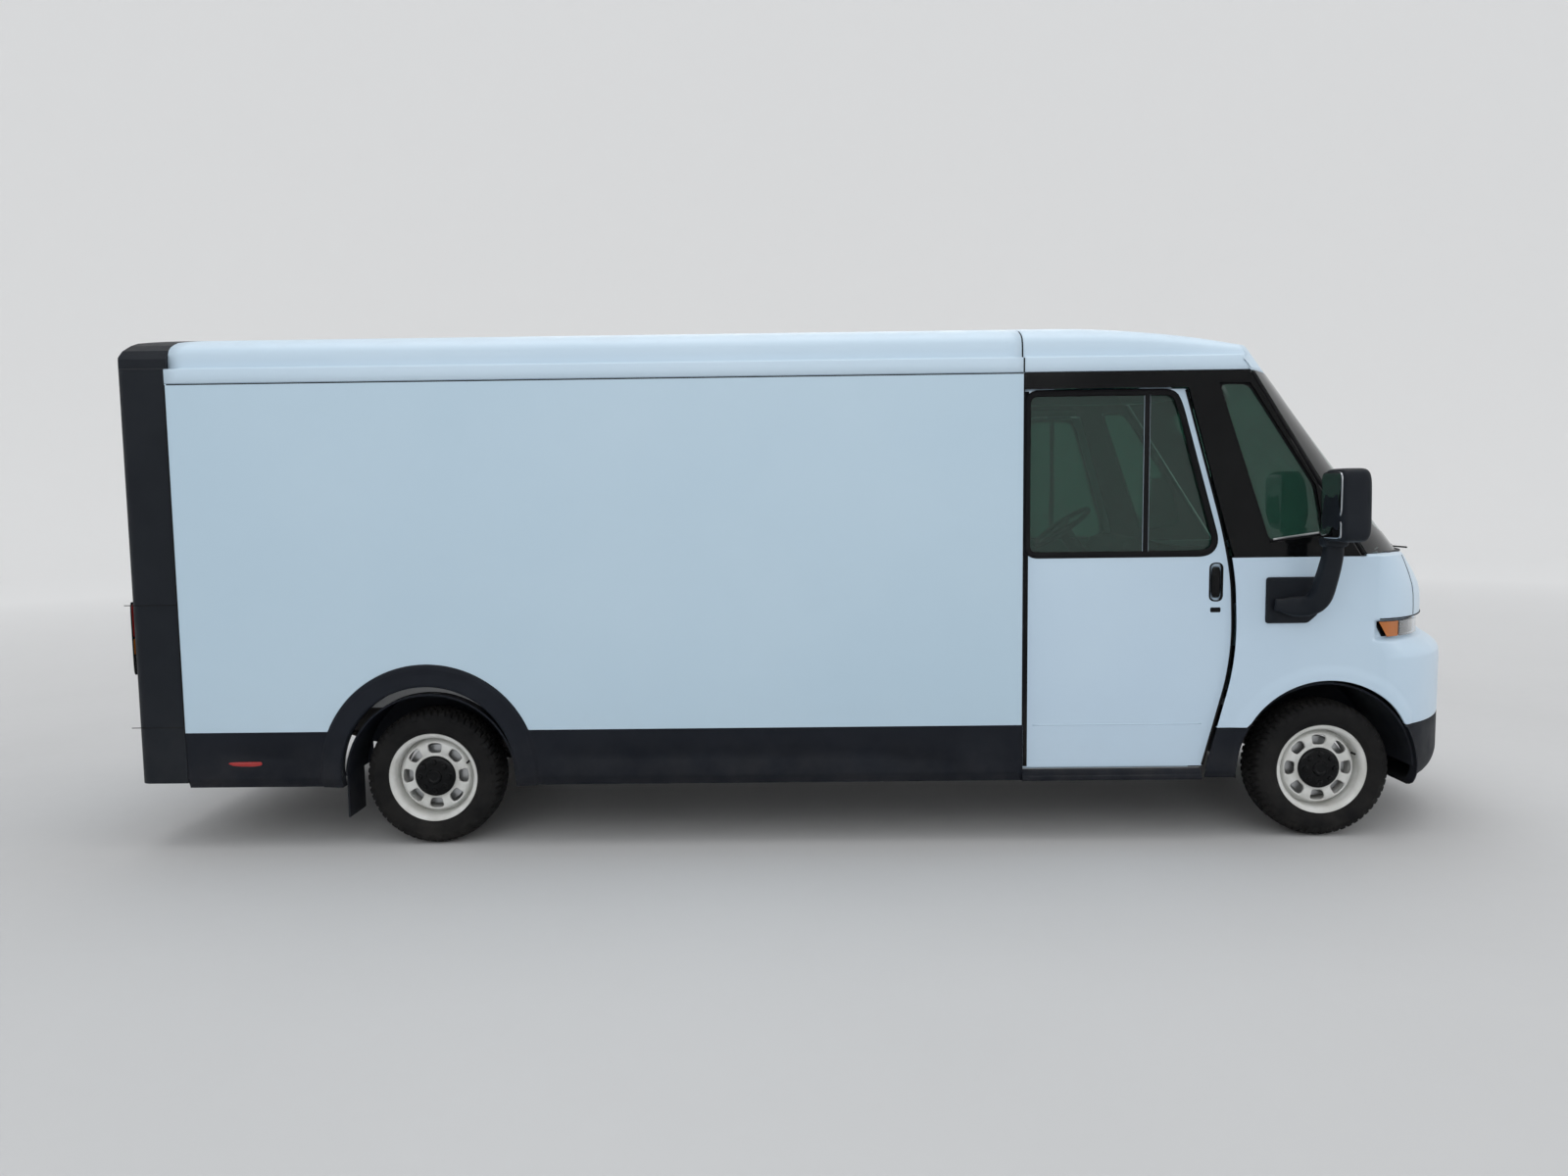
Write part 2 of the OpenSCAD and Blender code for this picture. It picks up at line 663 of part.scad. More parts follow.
module cab_roof_core(inset) {
  n = 14;
  x1 = roof_bend + roof_bend_len * pow((body_h - rail_z) / roof_fall, 1 / 2.2) - 5;
  intersection() {
    yz_solid(box_front + 2 - inset, x1 - box_front) polygon(roof_section(inset));
    translate([0, half_w, 0]) rotate([90, 0, 0]) linear_extrude(body_w) polygon(concat(
      [[box_front + 2 - inset, rail_z - sign(inset)]],
      [for (i = [0:n]) let (x = box_front + 2 - inset + i * (x1 - box_front) / n)
        [x, roof_line(x) - inset]],
      [[x1, rail_z - sign(inset)]]));
    behind_screen(inset);
  }
}
module cab_roof() {
  color("#eef2f4") difference() {
    cab_roof_core(0);
    cab_roof_core(shell_t);
  }
}

quarter = [[-596, 2353], [-440, 2351], [-98, 1834], [-46, 1581], [-322, 1545]];
quarter_mid = [-300, 1917];
quarter_fit = 0.985;
function shift(p, dx) = [for (q = p) [q[0] + dx, q[1]]];

module window_frames() {
  color("#141518") both_sides() intersection() {
    xz_plate(-skin_in, skin_t) difference() {
      polygon([[box_front + 3, rail_z - 2], [box_front + 3, door_top + 6],
        [ax_f + door_edge[5][0] + 8, door_top + 6], [ax_f + door_edge[4][0] + 8, door_edge[4][1]],
        [ax_f + door_edge[4][0] + 52, belt_z + 2], [screen_x + 50, belt_z + 2],
        [screen_x + 50, rail_z - 2]]);
      polygon(shift(quarter, ax_f));
    }
    behind_screen(glass_t + 2);
  }
}

module fixed_glass() {
  color([0.25, 0.4, 0.35, 0.5]) difference() {
    intersection() {
      behind_screen(0);
      slab([ax_f - 1000, -half_w + 30, belt_z + 2], [screen_x + 100, half_w - 30, rail_z - 2]);
    }
    behind_screen(glass_t);
  }
  color([0.25, 0.4, 0.35, 0.5]) both_sides() xz_plate(-half_w + 12, 6)
    polygon([for (q = quarter) quarter_mid + (q - quarter_mid) * quarter_fit + [ax_f, 0]]);
}

bulkhead_x = ax_f - 2150;
bulkhead_t = 30;
pass_half = 320;
module bulkhead() {
  color("#b9bdc0") difference() {
    union() {
      yz_solid(bulkhead_x, bulkhead_t) difference() {
        translate([-floor_side, floor_z + 1]) square([2 * floor_side, rail_z - floor_z - 31]);
        translate([-pass_half, floor_z]) square([2 * pass_half, rail_z - floor_z - 120]);
      }
      for (y = [jump_y - 215, jump_y + 195])
        slab([bulkhead_x + bulkhead_t - 1, y, jump_z - 22], [jump_x + 22, y + 20, jump_z + 22]);
    }
    rod_y(jump_x, jump_z, jump_pin_r + run_fit, jump_y - 220, jump_y + 220);
  }
}
module bulkhead_door() {
  color("#9ea3a7") union() {
    slab([bulkhead_x - 32, -pass_half - 25, floor_z + 6], [bulkhead_x - 6, pass_half + 25, rail_z - 100]);
    slab([bulkhead_x - 56, pass_half - 60, floor_z + 320],
      [bulkhead_x - 31, pass_half - 35, floor_z + 520]);
  }
}

module dashboard() {
  color("#26282b") difference() {
    translate([0, half_w - 110, 0]) rotate([90, 0, 0]) linear_extrude(body_w - 220) polygon([
      [ax_f - 790, belt_z - 170], [ax_f - 800, belt_z - 40], [ax_f - 750, belt_z + 50],
      [ax_f - 660, belt_z + 70], [ax_f - 380, belt_z - 30], [ax_f + 195, belt_z - 40],
      [ax_f + 195, belt_z - 150], [ax_f - 400, belt_z - 250]]);
    for (s = [-1, 1])
      slab([ax_f - 900, s > 0 ? 700 : -half_w, belt_z - 400],
        [ax_f - 560, s > 0 ? half_w : -60, belt_z + 100]);
    translate([steer_x, steer_y, steer_z]) rotate([0, -90 + column_rake, 0]) translate([0, 0, -620])
      cylinder(r = 62, h = 600);
  }
}
module steering_column() {
  color("#1e2022") translate([steer_x, steer_y, steer_z]) rotate([0, -90 + column_rake, 0]) union() {
    translate([0, 0, -240]) cylinder(r = 45, h = 200);
    translate([0, 0, -620]) cylinder(r = 20, h = 400);
    translate([0, 0, -45]) cylinder(r = 12, h = 60);
    for (s = [-1, 1]) translate([-6, s > 0 ? 30 : -190, -90]) cube([12, 160, 12]);
  }
}
module steering_wheel() {
  ring_r = steering_d / 2 - 15;
  color("#17181a") translate([steer_x, steer_y, steer_z]) rotate([0, -90 + column_rake, 0]) difference() {
    union() {
      rotate_extrude($fn = 64) translate([ring_r, 0]) circle(r = 15);
      translate([0, 0, -30]) cylinder(r = 62, h = 40);
      for (a = [0, 120, 240]) rotate([0, 0, a + 180]) translate([50, -16, -12]) cube([ring_r - 52, 32, 14]);
    }
    translate([0, 0, -46]) cylinder(r = 12 + run_fit, h = 62);
  }
}

pedal_x = ax_f - 270;
pedal_z = floor_z + 330;
module pedal(y, w) {
  color("#1a1b1d") union() {
    rod_y(pedal_x, pedal_z, 16, y - 20, y + 20);
    translate([0, y + 6, 0]) rotate([90, 0, 0]) linear_extrude(12)
      polygon([[pedal_x - 12, pedal_z], [pedal_x + 12, pedal_z], [pedal_x - 30, pedal_z - 230],
        [pedal_x - 54, pedal_z - 230]]);
    translate([pedal_x - 54, y - w / 2, pedal_z - 270]) rotate([0, 12, 0]) cube([16, w, 90]);
  }
}
module accelerator_pedal() { pedal(steer_y - 110, 60); }
module brake_pedal() { pedal(steer_y, 90); }

// ---- seats ---------------------------------------------------------------------------------

seat_x = ax_f - 1560;
seat_z = floor_z + 370;
seat_len = 480;
module seat_pedestal() {
  color("#2c2e31") union() {
    slab([seat_x + 60, steer_y - 190, floor_z + 0.5], [seat_x + 400, steer_y + 190, floor_z + 260]);
    for (s = [-1, 1]) slab([seat_x - 40, steer_y + s * 150 - 15, floor_z + 260],
      [seat_x + 500, steer_y + s * 150 + 15, floor_z + 285]);
  }
}
recline_r = 12;
module seat_cushion() {
  color("#2f3236") difference() {
    union() {
      slab([seat_x, steer_y - seat_w / 2, seat_z - 10],
        [seat_x + seat_len, steer_y + seat_w / 2, seat_z + 110]);
      for (s = [-1, 1]) {
        slab([seat_x + 20, steer_y + s * 150 - 22, floor_z + 286],
          [seat_x + 420, steer_y + s * 150 + 22, seat_z]);
        slab([seat_x - 42, steer_y + s * 238 - 6, seat_z + 36],
          [seat_x + 5, steer_y + s * 238 + 6, seat_z + 84]);
      }
    }
    rod_y(seat_x - 20, seat_z + 60, recline_r + run_fit, steer_y - 260, steer_y + 260);
  }
}
module seat_back() {
  color("#2f3236") union() {
    translate([seat_x - 20, steer_y - seat_w / 2 + 10, seat_z + 60]) rotate([0, -9, 0])
      translate([-110, 0, 60]) cube([110, seat_w - 20, 580]);
    translate([seat_x - 20, steer_y - 140, seat_z + 60]) rotate([0, -9, 0])
      translate([-95, 0, 700]) cube([80, 280, 160]);
    translate([seat_x - 20, steer_y, seat_z + 60]) rotate([0, -9, 0]) for (s = [-1, 1]) {
      translate([-60, s * 70, 630]) cylinder(r = 7, h = 100);
      translate([-40, s * 215 - 6, -14]) cube([36, 12, 90]);
    }
    rod_y(seat_x - 20, seat_z + 60, recline_r, steer_y - 244, steer_y + 244);
  }
}
jump_x = bulkhead_x + bulkhead_t + 40;
jump_z = floor_z + 430;
jump_y = -600;
jump_pin_r = 10;
module jump_seat() {
  color("#2f3236") union() {
    slab([jump_x - 10, jump_y - 190, jump_z + 25], [jump_x + 60, jump_y + 190, jump_z + 420]);
    rod_y(jump_x, jump_z, jump_pin_r, jump_y - 212, jump_y + 212);
    for (y = [jump_y - 150, jump_y + 130]) slab([jump_x - 8, y, jump_z], [jump_x + 8, y + 20, jump_z + 40]);
  }
}

// ---- side doors ----------------------------------------------------------------------------

module shifted() { translate([ax_f, 0]) children(); }
handle_x = ax_f - 606;
handle_z = belt_z - 214;
module side_door() {
  color("#f0f3f5") union() {
    difference() {
      xz_plate(-door_in, door_t) shifted() difference() {
        door_outline();
        window_outline(win_back);
      }
      slab([handle_x, -door_out - 1, handle_z], [handle_x + 56, -door_out + 16, handle_z + 176]);
    }
    slab([ax_f + pane_split - 15, -door_out, win_low - 1],
      [ax_f + pane_split + 15, -door_out + 4, win_high + 1]);
    for (x = [door_back + 40, -980]) {
      slab([ax_f + x, -door_in - 18, door_top - 1], [ax_f + x + 160, -door_in - 12, door_top + 26]);
      slab([ax_f + x, -door_in - 24, door_top + 22], [ax_f + x + 160, -door_in - 6, door_top + 34]);
    }
    slab([ax_f + door_back + 40, -door_in - 18, door_bottom - 20],
      [ax_f - 700, -door_in - 12, door_bottom + 1]);
  }
}
module side_door_right() { side_door(); }
module side_door_left() { at_left() side_door(); }

module fixed_pane() {
  color([0.25, 0.4, 0.35, 0.5]) slab([ax_f + win_back + pane_fit, -door_out + 6, win_low + pane_fit],
    [ax_f + pane_split + 12, -door_out + 6 + pane_t, win_high - pane_fit]);
}
module fixed_pane_right() { fixed_pane(); }
module fixed_pane_left() { at_left() fixed_pane(); }

module sliding_pane() {
  color([0.25, 0.4, 0.35, 0.5]) xz_plate(-door_in - 8, pane_t) shifted()
    window_outline(pane_split - 12, pane_fit);
}
module sliding_pane_right() { sliding_pane(); }
module sliding_pane_left() { at_left() sliding_pane(); }

module door_handle() {
  color("#16171a") union() {
    slab([handle_x + 4, -door_out + 4, handle_z + 8], [handle_x + 48, -door_out + 10, handle_z + 168]);
    rod_z(handle_x + 46, -door_out + 7, 5, handle_z + 8, handle_z + 168);
  }
}
module door_handle_right() { door_handle(); }
module door_handle_left() { at_left() door_handle(); }

module door_tracks() {
  track_back = ax_f - 2520;
  mid = -door_in - 15;
  color("#6d7175") both_sides() {
    difference() {
      slab([track_back, mid - 19, door_top + 14], [ax_f - 780, mid + 19, door_top + 50]);
      slab([track_back - 1, mid - 13, door_top + 18], [ax_f - 779, mid + 13, door_top + 44]);
      slab([track_back - 1, mid - 6, door_top + 13], [ax_f - 779, mid + 6, door_top + 20]);
    }
    difference() {
      slab([track_back, mid - 14, door_bottom - 40], [ax_f - 645, mid + 14, door_bottom - 8]);
      slab([track_back - 1, mid - 6, door_bottom - 26], [ax_f - 644, mid + 6, door_bottom - 7]);
    }
  }
}

// ---- outside fittings ----------------------------------------------------------------------

mirror_x = ax_f - 95;
mirror_y0 = half_w + 190;
mirror_z = belt_z + 89;
head_out = 235;
module mirror_arms() {
  color("#1d1f23") both_sides() union() {
    slab([ax_f - 337, -half_w - 9, belt_z - 336], [ax_f - 74, -half_w - 0.5, belt_z - 101]);
    hull() {
      slab([ax_f - 300, -half_w - 30, belt_z - 300], [ax_f - 220, -half_w - 8, belt_z - 220]);
      slab([ax_f - 150, -half_w - 190, belt_z - 310], [ax_f - 90, -half_w - 150, belt_z - 240]);
    }
    hull() {
      slab([ax_f - 150, -half_w - 190, belt_z - 310], [ax_f - 90, -half_w - 150, belt_z - 240]);
      slab([mirror_x - 45, -mirror_y0 - 25, mirror_z - 60],
        [mirror_x + 45, -mirror_y0 + 25, mirror_z - 14]);
    }
    rod_z(mirror_x, -mirror_y0, 12, mirror_z - 20, mirror_z + 40);
  }
}
module mirror_head() {
  x0 = mirror_x - 75;
  color("#1b1d20") difference() {
    slab([x0, -mirror_y0 - head_out, mirror_z], [x0 + 150, -mirror_y0 + 15, mirror_z + 350]);
    rod_z(mirror_x, -mirror_y0, 12 + run_fit, mirror_z - 1, mirror_z + 42);
    slab([x0 - 1, -mirror_y0 - head_out + 14, mirror_z + 18], [x0 + 12, -mirror_y0 + 1, mirror_z + 332]);
  }
  color("#a9b4bb") slab([x0 + 4, -mirror_y0 - head_out + 16, mirror_z + 20],
    [x0 + 10, -mirror_y0 - 1, mirror_z + 330]);
}
module mirror_head_right() { mirror_head(); }
module mirror_head_left() { at_left() mirror_head(); }

wiper_y = 60;
wiper_z = belt_z - 18;
wiper_off = 16;
module wiper() {
  color("#141517") translate([screen_at(0, wiper_z), -wiper_y, wiper_z]) rotate([0, 90 - screen_lean, 0])
    translate([0, 0, wiper_off]) union() {
      cylinder(r = 16, h = 22);
      slab([-9, -300, 10], [9, 0, 20]);
      slab([-12, -480, -6], [4, -110, 4]);
      slab([-8, -300, 3], [4, -280, 12]);
    }
}
module wiper_right() { wiper(); }
module wiper_left() { at_left() wiper(); }

module charge_inlet() {
  color("#222427") difference() {
    slab([flap_x + 4, half_w - 58, flap_z + 4], [flap_x + flap_w - 4, half_w - 30, flap_z + flap_w - 4]);
    rod_y(flap_x + flap_w / 2, flap_z + flap_w / 2 + 18, 28, half_w - 50, half_w);
    for (s = [-1, 1]) rod_y(flap_x + flap_w / 2 + s * 16, flap_z + 40, 12, half_w - 50, half_w);
  }
  color("#222427") for (z = flap_arms) {
    slab([flap_hinge_x - flap_arm_half, half_w - 31, z],
      [flap_hinge_x + flap_arm_half, flap_hinge_y, z + flap_arm_w]);
    rod_z(flap_hinge_x, flap_hinge_y, flap_arm_half, z, z + flap_arm_w);
  }
}
module charge_flap() {
  color("#f0f3f5") difference() {
    slab([flap_x + 2, half_w - 8, flap_z + 2], [flap_x + flap_w - 2, half_w - 1, flap_z + flap_w - 2]);
    for (z = flap_arms)
      slab([flap_hinge_x - 12, half_w - 10, z - 2], [flap_x + flap_w, half_w, z + flap_arm_w + 2]);
  }
  color("#f0f3f5") rod_z(flap_hinge_x, flap_hinge_y, 3, flap_arms[0] + flap_arm_w + 2, flap_arms[1] - 2);
}

chassis_frame();
battery_pack();
rear_axle();
front_subframe();
floor();
side_panel_right();
side_panel_left();
cargo_liners();
box_roof();
cab_roof();
cab_body();
window_frames();
fixed_glass();
rear_frame();
rear_step();
side_trims();
front_bumper();
arch_liners();
front_lamps();
rear_lamps();
door_tracks();
dashboard();
steering_column();
bulkhead();
mirror_arms();
charge_inlet();
seat_pedestal();
steering_wheel();
knuckle_left();
knuckle_right();
tyre_front_left();
tyre_front_right();
tyre_rear_left();
tyre_rear_right();
wheel_front_left();
wheel_front_right();
wheel_rear_left();
wheel_rear_right();
side_door_right();
side_door_left();
fixed_pane_right();
fixed_pane_left();
sliding_pane_right();
sliding_pane_left();
door_handle_right();
door_handle_left();
rear_door_right();
rear_door_left();
rear_latch();
mirror_head_right();
mirror_head_left();
wiper_right();
wiper_left();
accelerator_pedal();
brake_pedal();
seat_cushion();
seat_back();
jump_seat();
bulkhead_door();
charge_flap();
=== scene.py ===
import json
import math

import bmesh
import bpy
import numpy as np
from mathutils import Matrix, Vector


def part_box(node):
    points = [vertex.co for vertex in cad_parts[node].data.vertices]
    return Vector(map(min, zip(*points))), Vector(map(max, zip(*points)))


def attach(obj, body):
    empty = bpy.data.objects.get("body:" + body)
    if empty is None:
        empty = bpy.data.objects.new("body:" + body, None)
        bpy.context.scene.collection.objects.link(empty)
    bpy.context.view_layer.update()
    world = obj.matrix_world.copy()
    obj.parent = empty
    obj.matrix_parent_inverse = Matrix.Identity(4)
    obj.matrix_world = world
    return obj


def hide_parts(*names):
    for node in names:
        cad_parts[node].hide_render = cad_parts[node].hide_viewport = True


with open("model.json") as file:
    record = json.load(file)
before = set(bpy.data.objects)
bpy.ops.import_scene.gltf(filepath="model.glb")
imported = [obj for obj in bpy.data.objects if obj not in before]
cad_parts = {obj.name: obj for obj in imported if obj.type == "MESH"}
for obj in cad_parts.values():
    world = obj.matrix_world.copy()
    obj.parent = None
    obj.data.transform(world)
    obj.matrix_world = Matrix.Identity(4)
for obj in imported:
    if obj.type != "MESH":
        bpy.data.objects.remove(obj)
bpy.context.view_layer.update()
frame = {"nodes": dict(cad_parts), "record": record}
nodes = frame["nodes"]


# ---------------------------------------- camera, floor and lights

def place_camera():
    """Sets the camera by its place, its lens and three small turns: yaw about Z, pitch about X, roll about
    Y."""
    lens = bpy.data.cameras.new("side_view")
    lens.sensor_width = 36.0
    lens.lens = 24.746
    lens.clip_end = 200.0
    camera = bpy.data.objects.new("side_view", lens)
    bpy.context.scene.collection.objects.link(camera)
    turn = (Matrix.Rotation(0.011614, 4, "Z") @ Matrix.Rotation(-0.084724, 4, "X")
            @ Matrix.Rotation(0.012335, 4, "Y"))
    look_ahead = Matrix.Rotation(math.radians(90), 4, "X")
    camera.matrix_world = Matrix.Translation((-0.113, -6.540, 1.8095)) @ turn @ look_ahead
    bpy.context.scene.camera = camera


def lay_floor():
    """A wide disc of rings at z = 0, whose outer rings curve up as a studio sweep: z grows with the square
    of the distance past 30 m."""
    ring, turn = np.meshgrid(np.linspace(0.0, 1.0, 40), np.linspace(0, 2 * np.pi, 97), indexing="ij")
    reach = 60.0 * ring
    points = grid_points(reach * np.cos(turn), reach * np.sin(turn),
                         0.055 * np.clip(reach - 30.0, 0, None) ** 2)
    floor = surface_piece("studio_floor", points, join_v=True, heart=(0, 0, -1))
    floor.data.materials.append(floor_paint())


def hang_light(name, place, aim, size, power, tint):
    """One soft rectangular light at place, turned to face aim."""
    data = bpy.data.lights.new(name, "AREA")
    data.shape = "RECTANGLE"
    data.size, data.size_y = size
    data.energy = power
    data.color = tint
    light = bpy.data.objects.new(name, data)
    bpy.context.scene.collection.objects.link(light)
    light.location = place
    light.rotation_euler = (Vector(aim) - Vector(place)).to_track_quat("-Z", "Y").to_euler()


def light_studio():
    """An even pale surround, a broad light overhead, a soft one on the near side and a weaker one on the far
    side."""
    world = bpy.data.worlds.new("pale_surround")
    world.use_nodes = True
    world.node_tree.nodes["Background"].inputs["Color"].default_value = (0.95, 0.97, 1.0, 1)
    world.node_tree.nodes["Background"].inputs["Strength"].default_value = 0.88
    bpy.context.scene.world = world
    bpy.context.scene.view_settings.view_transform = "Standard"
    hang_light("overhead", (0, 0, 9.0), (0, 0, 0), (12, 7), 250, (1.0, 0.99, 0.97))
    hang_light("near_side", (-1.5, -11.0, 6.0), (0, 0, 1.4), (12, 5), 190, (0.97, 0.99, 1.0))
    hang_light("front_side", (10.5, -4.0, 4.5), (2.6, 0, 1.2), (5, 4), 90, (1.0, 1.0, 1.0))
    hang_light("far_side", (0.5, 10.0, 6.0), (0, 0, 1.4), (10, 5), 160, (0.97, 0.99, 1.0))


# ---------------------------------------- meshes from arrays

def grid_points(x, y, z):
    """Stacks three coordinates, each a number or an array, into one array of points."""
    return np.stack(np.broadcast_arrays(x, y, z), axis=-1)


def turns_inward(corners, heart):
    """Whether the quads face the heart, summed over their areas."""
    middle = corners.mean(1)
    if heart is None:
        heart = np.stack([np.clip(middle[:, 0], -3.3, 2.5), 0 * middle[:, 0],
                          np.clip(middle[:, 2], 0.8, 1.7)], axis=-1)
    area = np.cross(corners[:, 2] - corners[:, 0], corners[:, 3] - corners[:, 1])
    return (area * (middle - heart)).sum() < 0


def surface_piece(name, points, join_u=False, join_v=False, smooth=True, heart=None):
    """Makes a mesh of quads from an array of points whose first two axes are the grid. join_u and join_v
    close the grid onto its first row or column, whose doubles are dropped. Zero-size ends of a grid are
    merged to one point. The faces turn away from heart, or, where it isn't given, from the van's middle
    line."""
    points = np.asarray(points, dtype=np.float64)
    if join_u:
        points = points[:-1]
    if join_v:
        points = points[:, :-1]
    rows, columns = points.shape[:2]
    number = np.arange(rows * columns).reshape(rows, columns)
    if join_u:
        number = np.vstack([number, number[:1]])
    if join_v:
        number = np.hstack([number, number[:, :1]])
    quads = np.stack([number[:-1, :-1], number[1:, :-1], number[1:, 1:], number[:-1, 1:]],
                     axis=-1).reshape(-1, 4)
    if turns_inward(points.reshape(-1, 3)[quads], heart):
        quads = quads[:, ::-1]
    mesh = bpy.data.meshes.new(name)
    mesh.from_pydata(points.reshape(-1, 3).tolist(), [], quads.tolist())
    tidy_mesh(mesh)
    mesh.polygons.foreach_set("use_smooth", np.full(len(mesh.polygons), smooth))
    piece = bpy.data.objects.new(name, mesh)
    bpy.context.scene.collection.objects.link(piece)
    return piece


def tidy_mesh(mesh, recalculate=False):
    """Merges points that lie on each other and drops faces with no area, and on request turns all faces
    outward."""
    work = bmesh.new()
    work.from_mesh(mesh)
    bmesh.ops.remove_doubles(work, verts=work.verts, dist=1e-6)
    bmesh.ops.dissolve_degenerate(work, edges=work.edges, dist=1e-6)
    if recalculate:
        bmesh.ops.recalc_face_normals(work, faces=work.faces)
    work.to_mesh(mesh)
    work.free()


def mend_normals(piece):
    """Turns the faces of a closed piece outward."""
    tidy_mesh(piece.data, recalculate=True)
    return piece


def join_meshes(name, parts):
    """One piece out of several, in one mesh."""
    for part in parts:
        part.select_set(False)
    with bpy.context.temp_override(active_object=parts[0], selected_editable_objects=parts):
        bpy.ops.object.join()
    parts[0].name = name
    parts[0].data.name = name
    return parts[0]


def finished(piece, body, slot, material, *replaced):
    """Gives a piece its finish, the body that it rides on, and the CAD nodes that it stands for. slot is
    not used."""
    piece.data.materials.clear()
    piece.data.materials.append(material)
    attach(piece, body)
    if replaced:
        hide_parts(*replaced)
    return piece


# ---------------------------------------- shared effects

def effect(name, takes, gives):
    """Starts a shared effect: a node group with named inputs (name, kind, value) and outputs (name,
    kind)."""
    group = bpy.data.node_groups.new(name, "ShaderNodeTree")
    for title, kind, value in takes:
        group.interface.new_socket(title, in_out="INPUT", socket_type=kind).default_value = value
    for title, kind in gives:
        group.interface.new_socket(title, in_out="OUTPUT", socket_type=kind)
    return group, group.nodes.new("NodeGroupInput"), group.nodes.new("NodeGroupOutput")


NUMBER, TINT, ARROW = "NodeSocketFloat", "NodeSocketColor", "NodeSocketVector"


def math_node(tree, operation, first, second=None, clamp=False):
    """One sum of two values, each a number or a socket."""
    node = tree.nodes.new("ShaderNodeMath")
    node.operation = operation
    node.use_clamp = clamp
    for socket, value in zip(node.inputs, (first, second)):
        if value is None:
            continue
        if isinstance(value, (int, float)):
            socket.default_value = value
        else:
            tree.links.new(value, socket)
    return node.outputs[0]


def blend_tints(tree, share, first, second):
    """Mixes two colours, each a colour or a socket, by a share that is a socket or a number."""
    node = tree.nodes.new("ShaderNodeMix")
    node.data_type = "RGBA"
    for socket, value in ((node.inputs[0], share), (node.inputs[6], first), (node.inputs[7], second)):
        if hasattr(value, "is_output"):
            tree.links.new(value, socket)
        else:
            socket.default_value = value
    return node.outputs[2]


def spread(tree, value, low, high, to_low=0.0, to_high=1.0):
    """Maps a value from one range to another, held at both ends, each end a number or a socket."""
    node = tree.nodes.new("ShaderNodeMapRange")
    for socket, given in zip(node.inputs[:5], (value, low, high, to_low, to_high)):
        if hasattr(given, "is_output"):
            tree.links.new(given, socket)
        else:
            socket.default_value = given
    return node.outputs[0]


def noise(tree, where, scale, detail=3.0, roughness=0.55):
    """Noise at a place, with a scale that is a number or a socket."""
    node = tree.nodes.new("ShaderNodeTexNoise")
    tree.links.new(where, node.inputs["Vector"])
    if hasattr(scale, "is_output"):
        tree.links.new(scale, node.inputs["Scale"])
    else:
        node.inputs["Scale"].default_value = scale
    node.inputs["Detail"].default_value = detail
    node.inputs["Roughness"].default_value = roughness
    return node.outputs["Fac"]


def object_place(tree):
    """The piece's own coordinates."""
    return tree.nodes.new("ShaderNodeTexCoord").outputs["Object"]


def make_patches():
    """Two tones that drift into each other in soft patches, with finer flecks over them."""
    group, given, out = effect("soft_patches",
                               [("Tone", TINT, (1, 1, 1, 1)), ("Second Tone", TINT, (0.8, 0.8, 0.8, 1)),
                                ("Patch Size", NUMBER, 2.0), ("Flecks", NUMBER, 0.1)],
                               [("Color", TINT)])
    where = object_place(group)
    broad = noise(group, where, given.outputs["Patch Size"])
    fine = noise(group, where, 60.0, 2.0)
    flecks = math_node(group, "MULTIPLY", math_node(group, "SUBTRACT", fine, 0.5), given.outputs["Flecks"])
    share = math_node(group, "ADD", spread(group, broad, 0.35, 0.65), flecks, clamp=True)
    group.links.new(blend_tints(group, share, given.outputs["Tone"], given.outputs["Second Tone"]),
                    out.inputs["Color"])
    return group


def make_road_dust():
    """A mask of dust: it fades upward over Reach metres from the ground, and lies thicker on faces that look
    up."""
    group, given, out = effect("road_dust",
                               [("Reach", NUMBER, 0.8), ("Low Dust", NUMBER, 0.4),
                                ("Top Dust", NUMBER, 0.1)],
                               [("Mask", NUMBER)])
    where = object_place(group)
    apart = group.nodes.new("ShaderNodeSeparateXYZ")
    group.links.new(where, apart.inputs[0])
    near_ground = spread(group, apart.outputs["Z"], given.outputs["Reach"], 0.0)
    streaks = spread(group, noise(group, where, 7.0, 5.0, 0.65), 0.3, 0.75)
    low = math_node(group, "MULTIPLY", math_node(group, "MULTIPLY", near_ground, streaks),
                    given.outputs["Low Dust"])
    facing = group.nodes.new("ShaderNodeSeparateXYZ")
    group.links.new(group.nodes.new("ShaderNodeNewGeometry").outputs["Normal"], facing.inputs[0])
    up = math_node(group, "MULTIPLY", spread(group, facing.outputs["Z"], 0.6, 1.0),
                   given.outputs["Top Dust"])
    lying = math_node(group, "MULTIPLY", up, streaks)
    group.links.new(math_node(group, "ADD", low, lying, clamp=True), out.inputs["Mask"])
    return group


def make_worn_edges():
    """A mask that is 1 on sharp edges and 0 on flats, broken up by noise: the rounded normal against the
    true one."""
    group, given, out = effect("worn_edges", [("Width", NUMBER, 0.004), ("Amount", NUMBER, 0.5)],
                               [("Mask", NUMBER)])
    rounded = group.nodes.new("ShaderNodeBevel")
    rounded.samples = 3
    group.links.new(given.outputs["Width"], rounded.inputs["Radius"])
    compare = group.nodes.new("ShaderNodeVectorMath")
    compare.operation = "DOT_PRODUCT"
    group.links.new(rounded.outputs[0], compare.inputs[0])
    group.links.new(group.nodes.new("ShaderNodeNewGeometry").outputs["Normal"], compare.inputs[1])
    edge = spread(group, compare.outputs["Value"], 0.985, 0.85)
    broken = spread(group, noise(group, object_place(group), 25.0, 4.0, 0.7), 0.42, 0.62)
    both = math_node(group, "MULTIPLY", edge, broken)
    group.links.new(math_node(group, "MULTIPLY", both, given.outputs["Amount"], clamp=True),
                    out.inputs["Mask"])
    return group


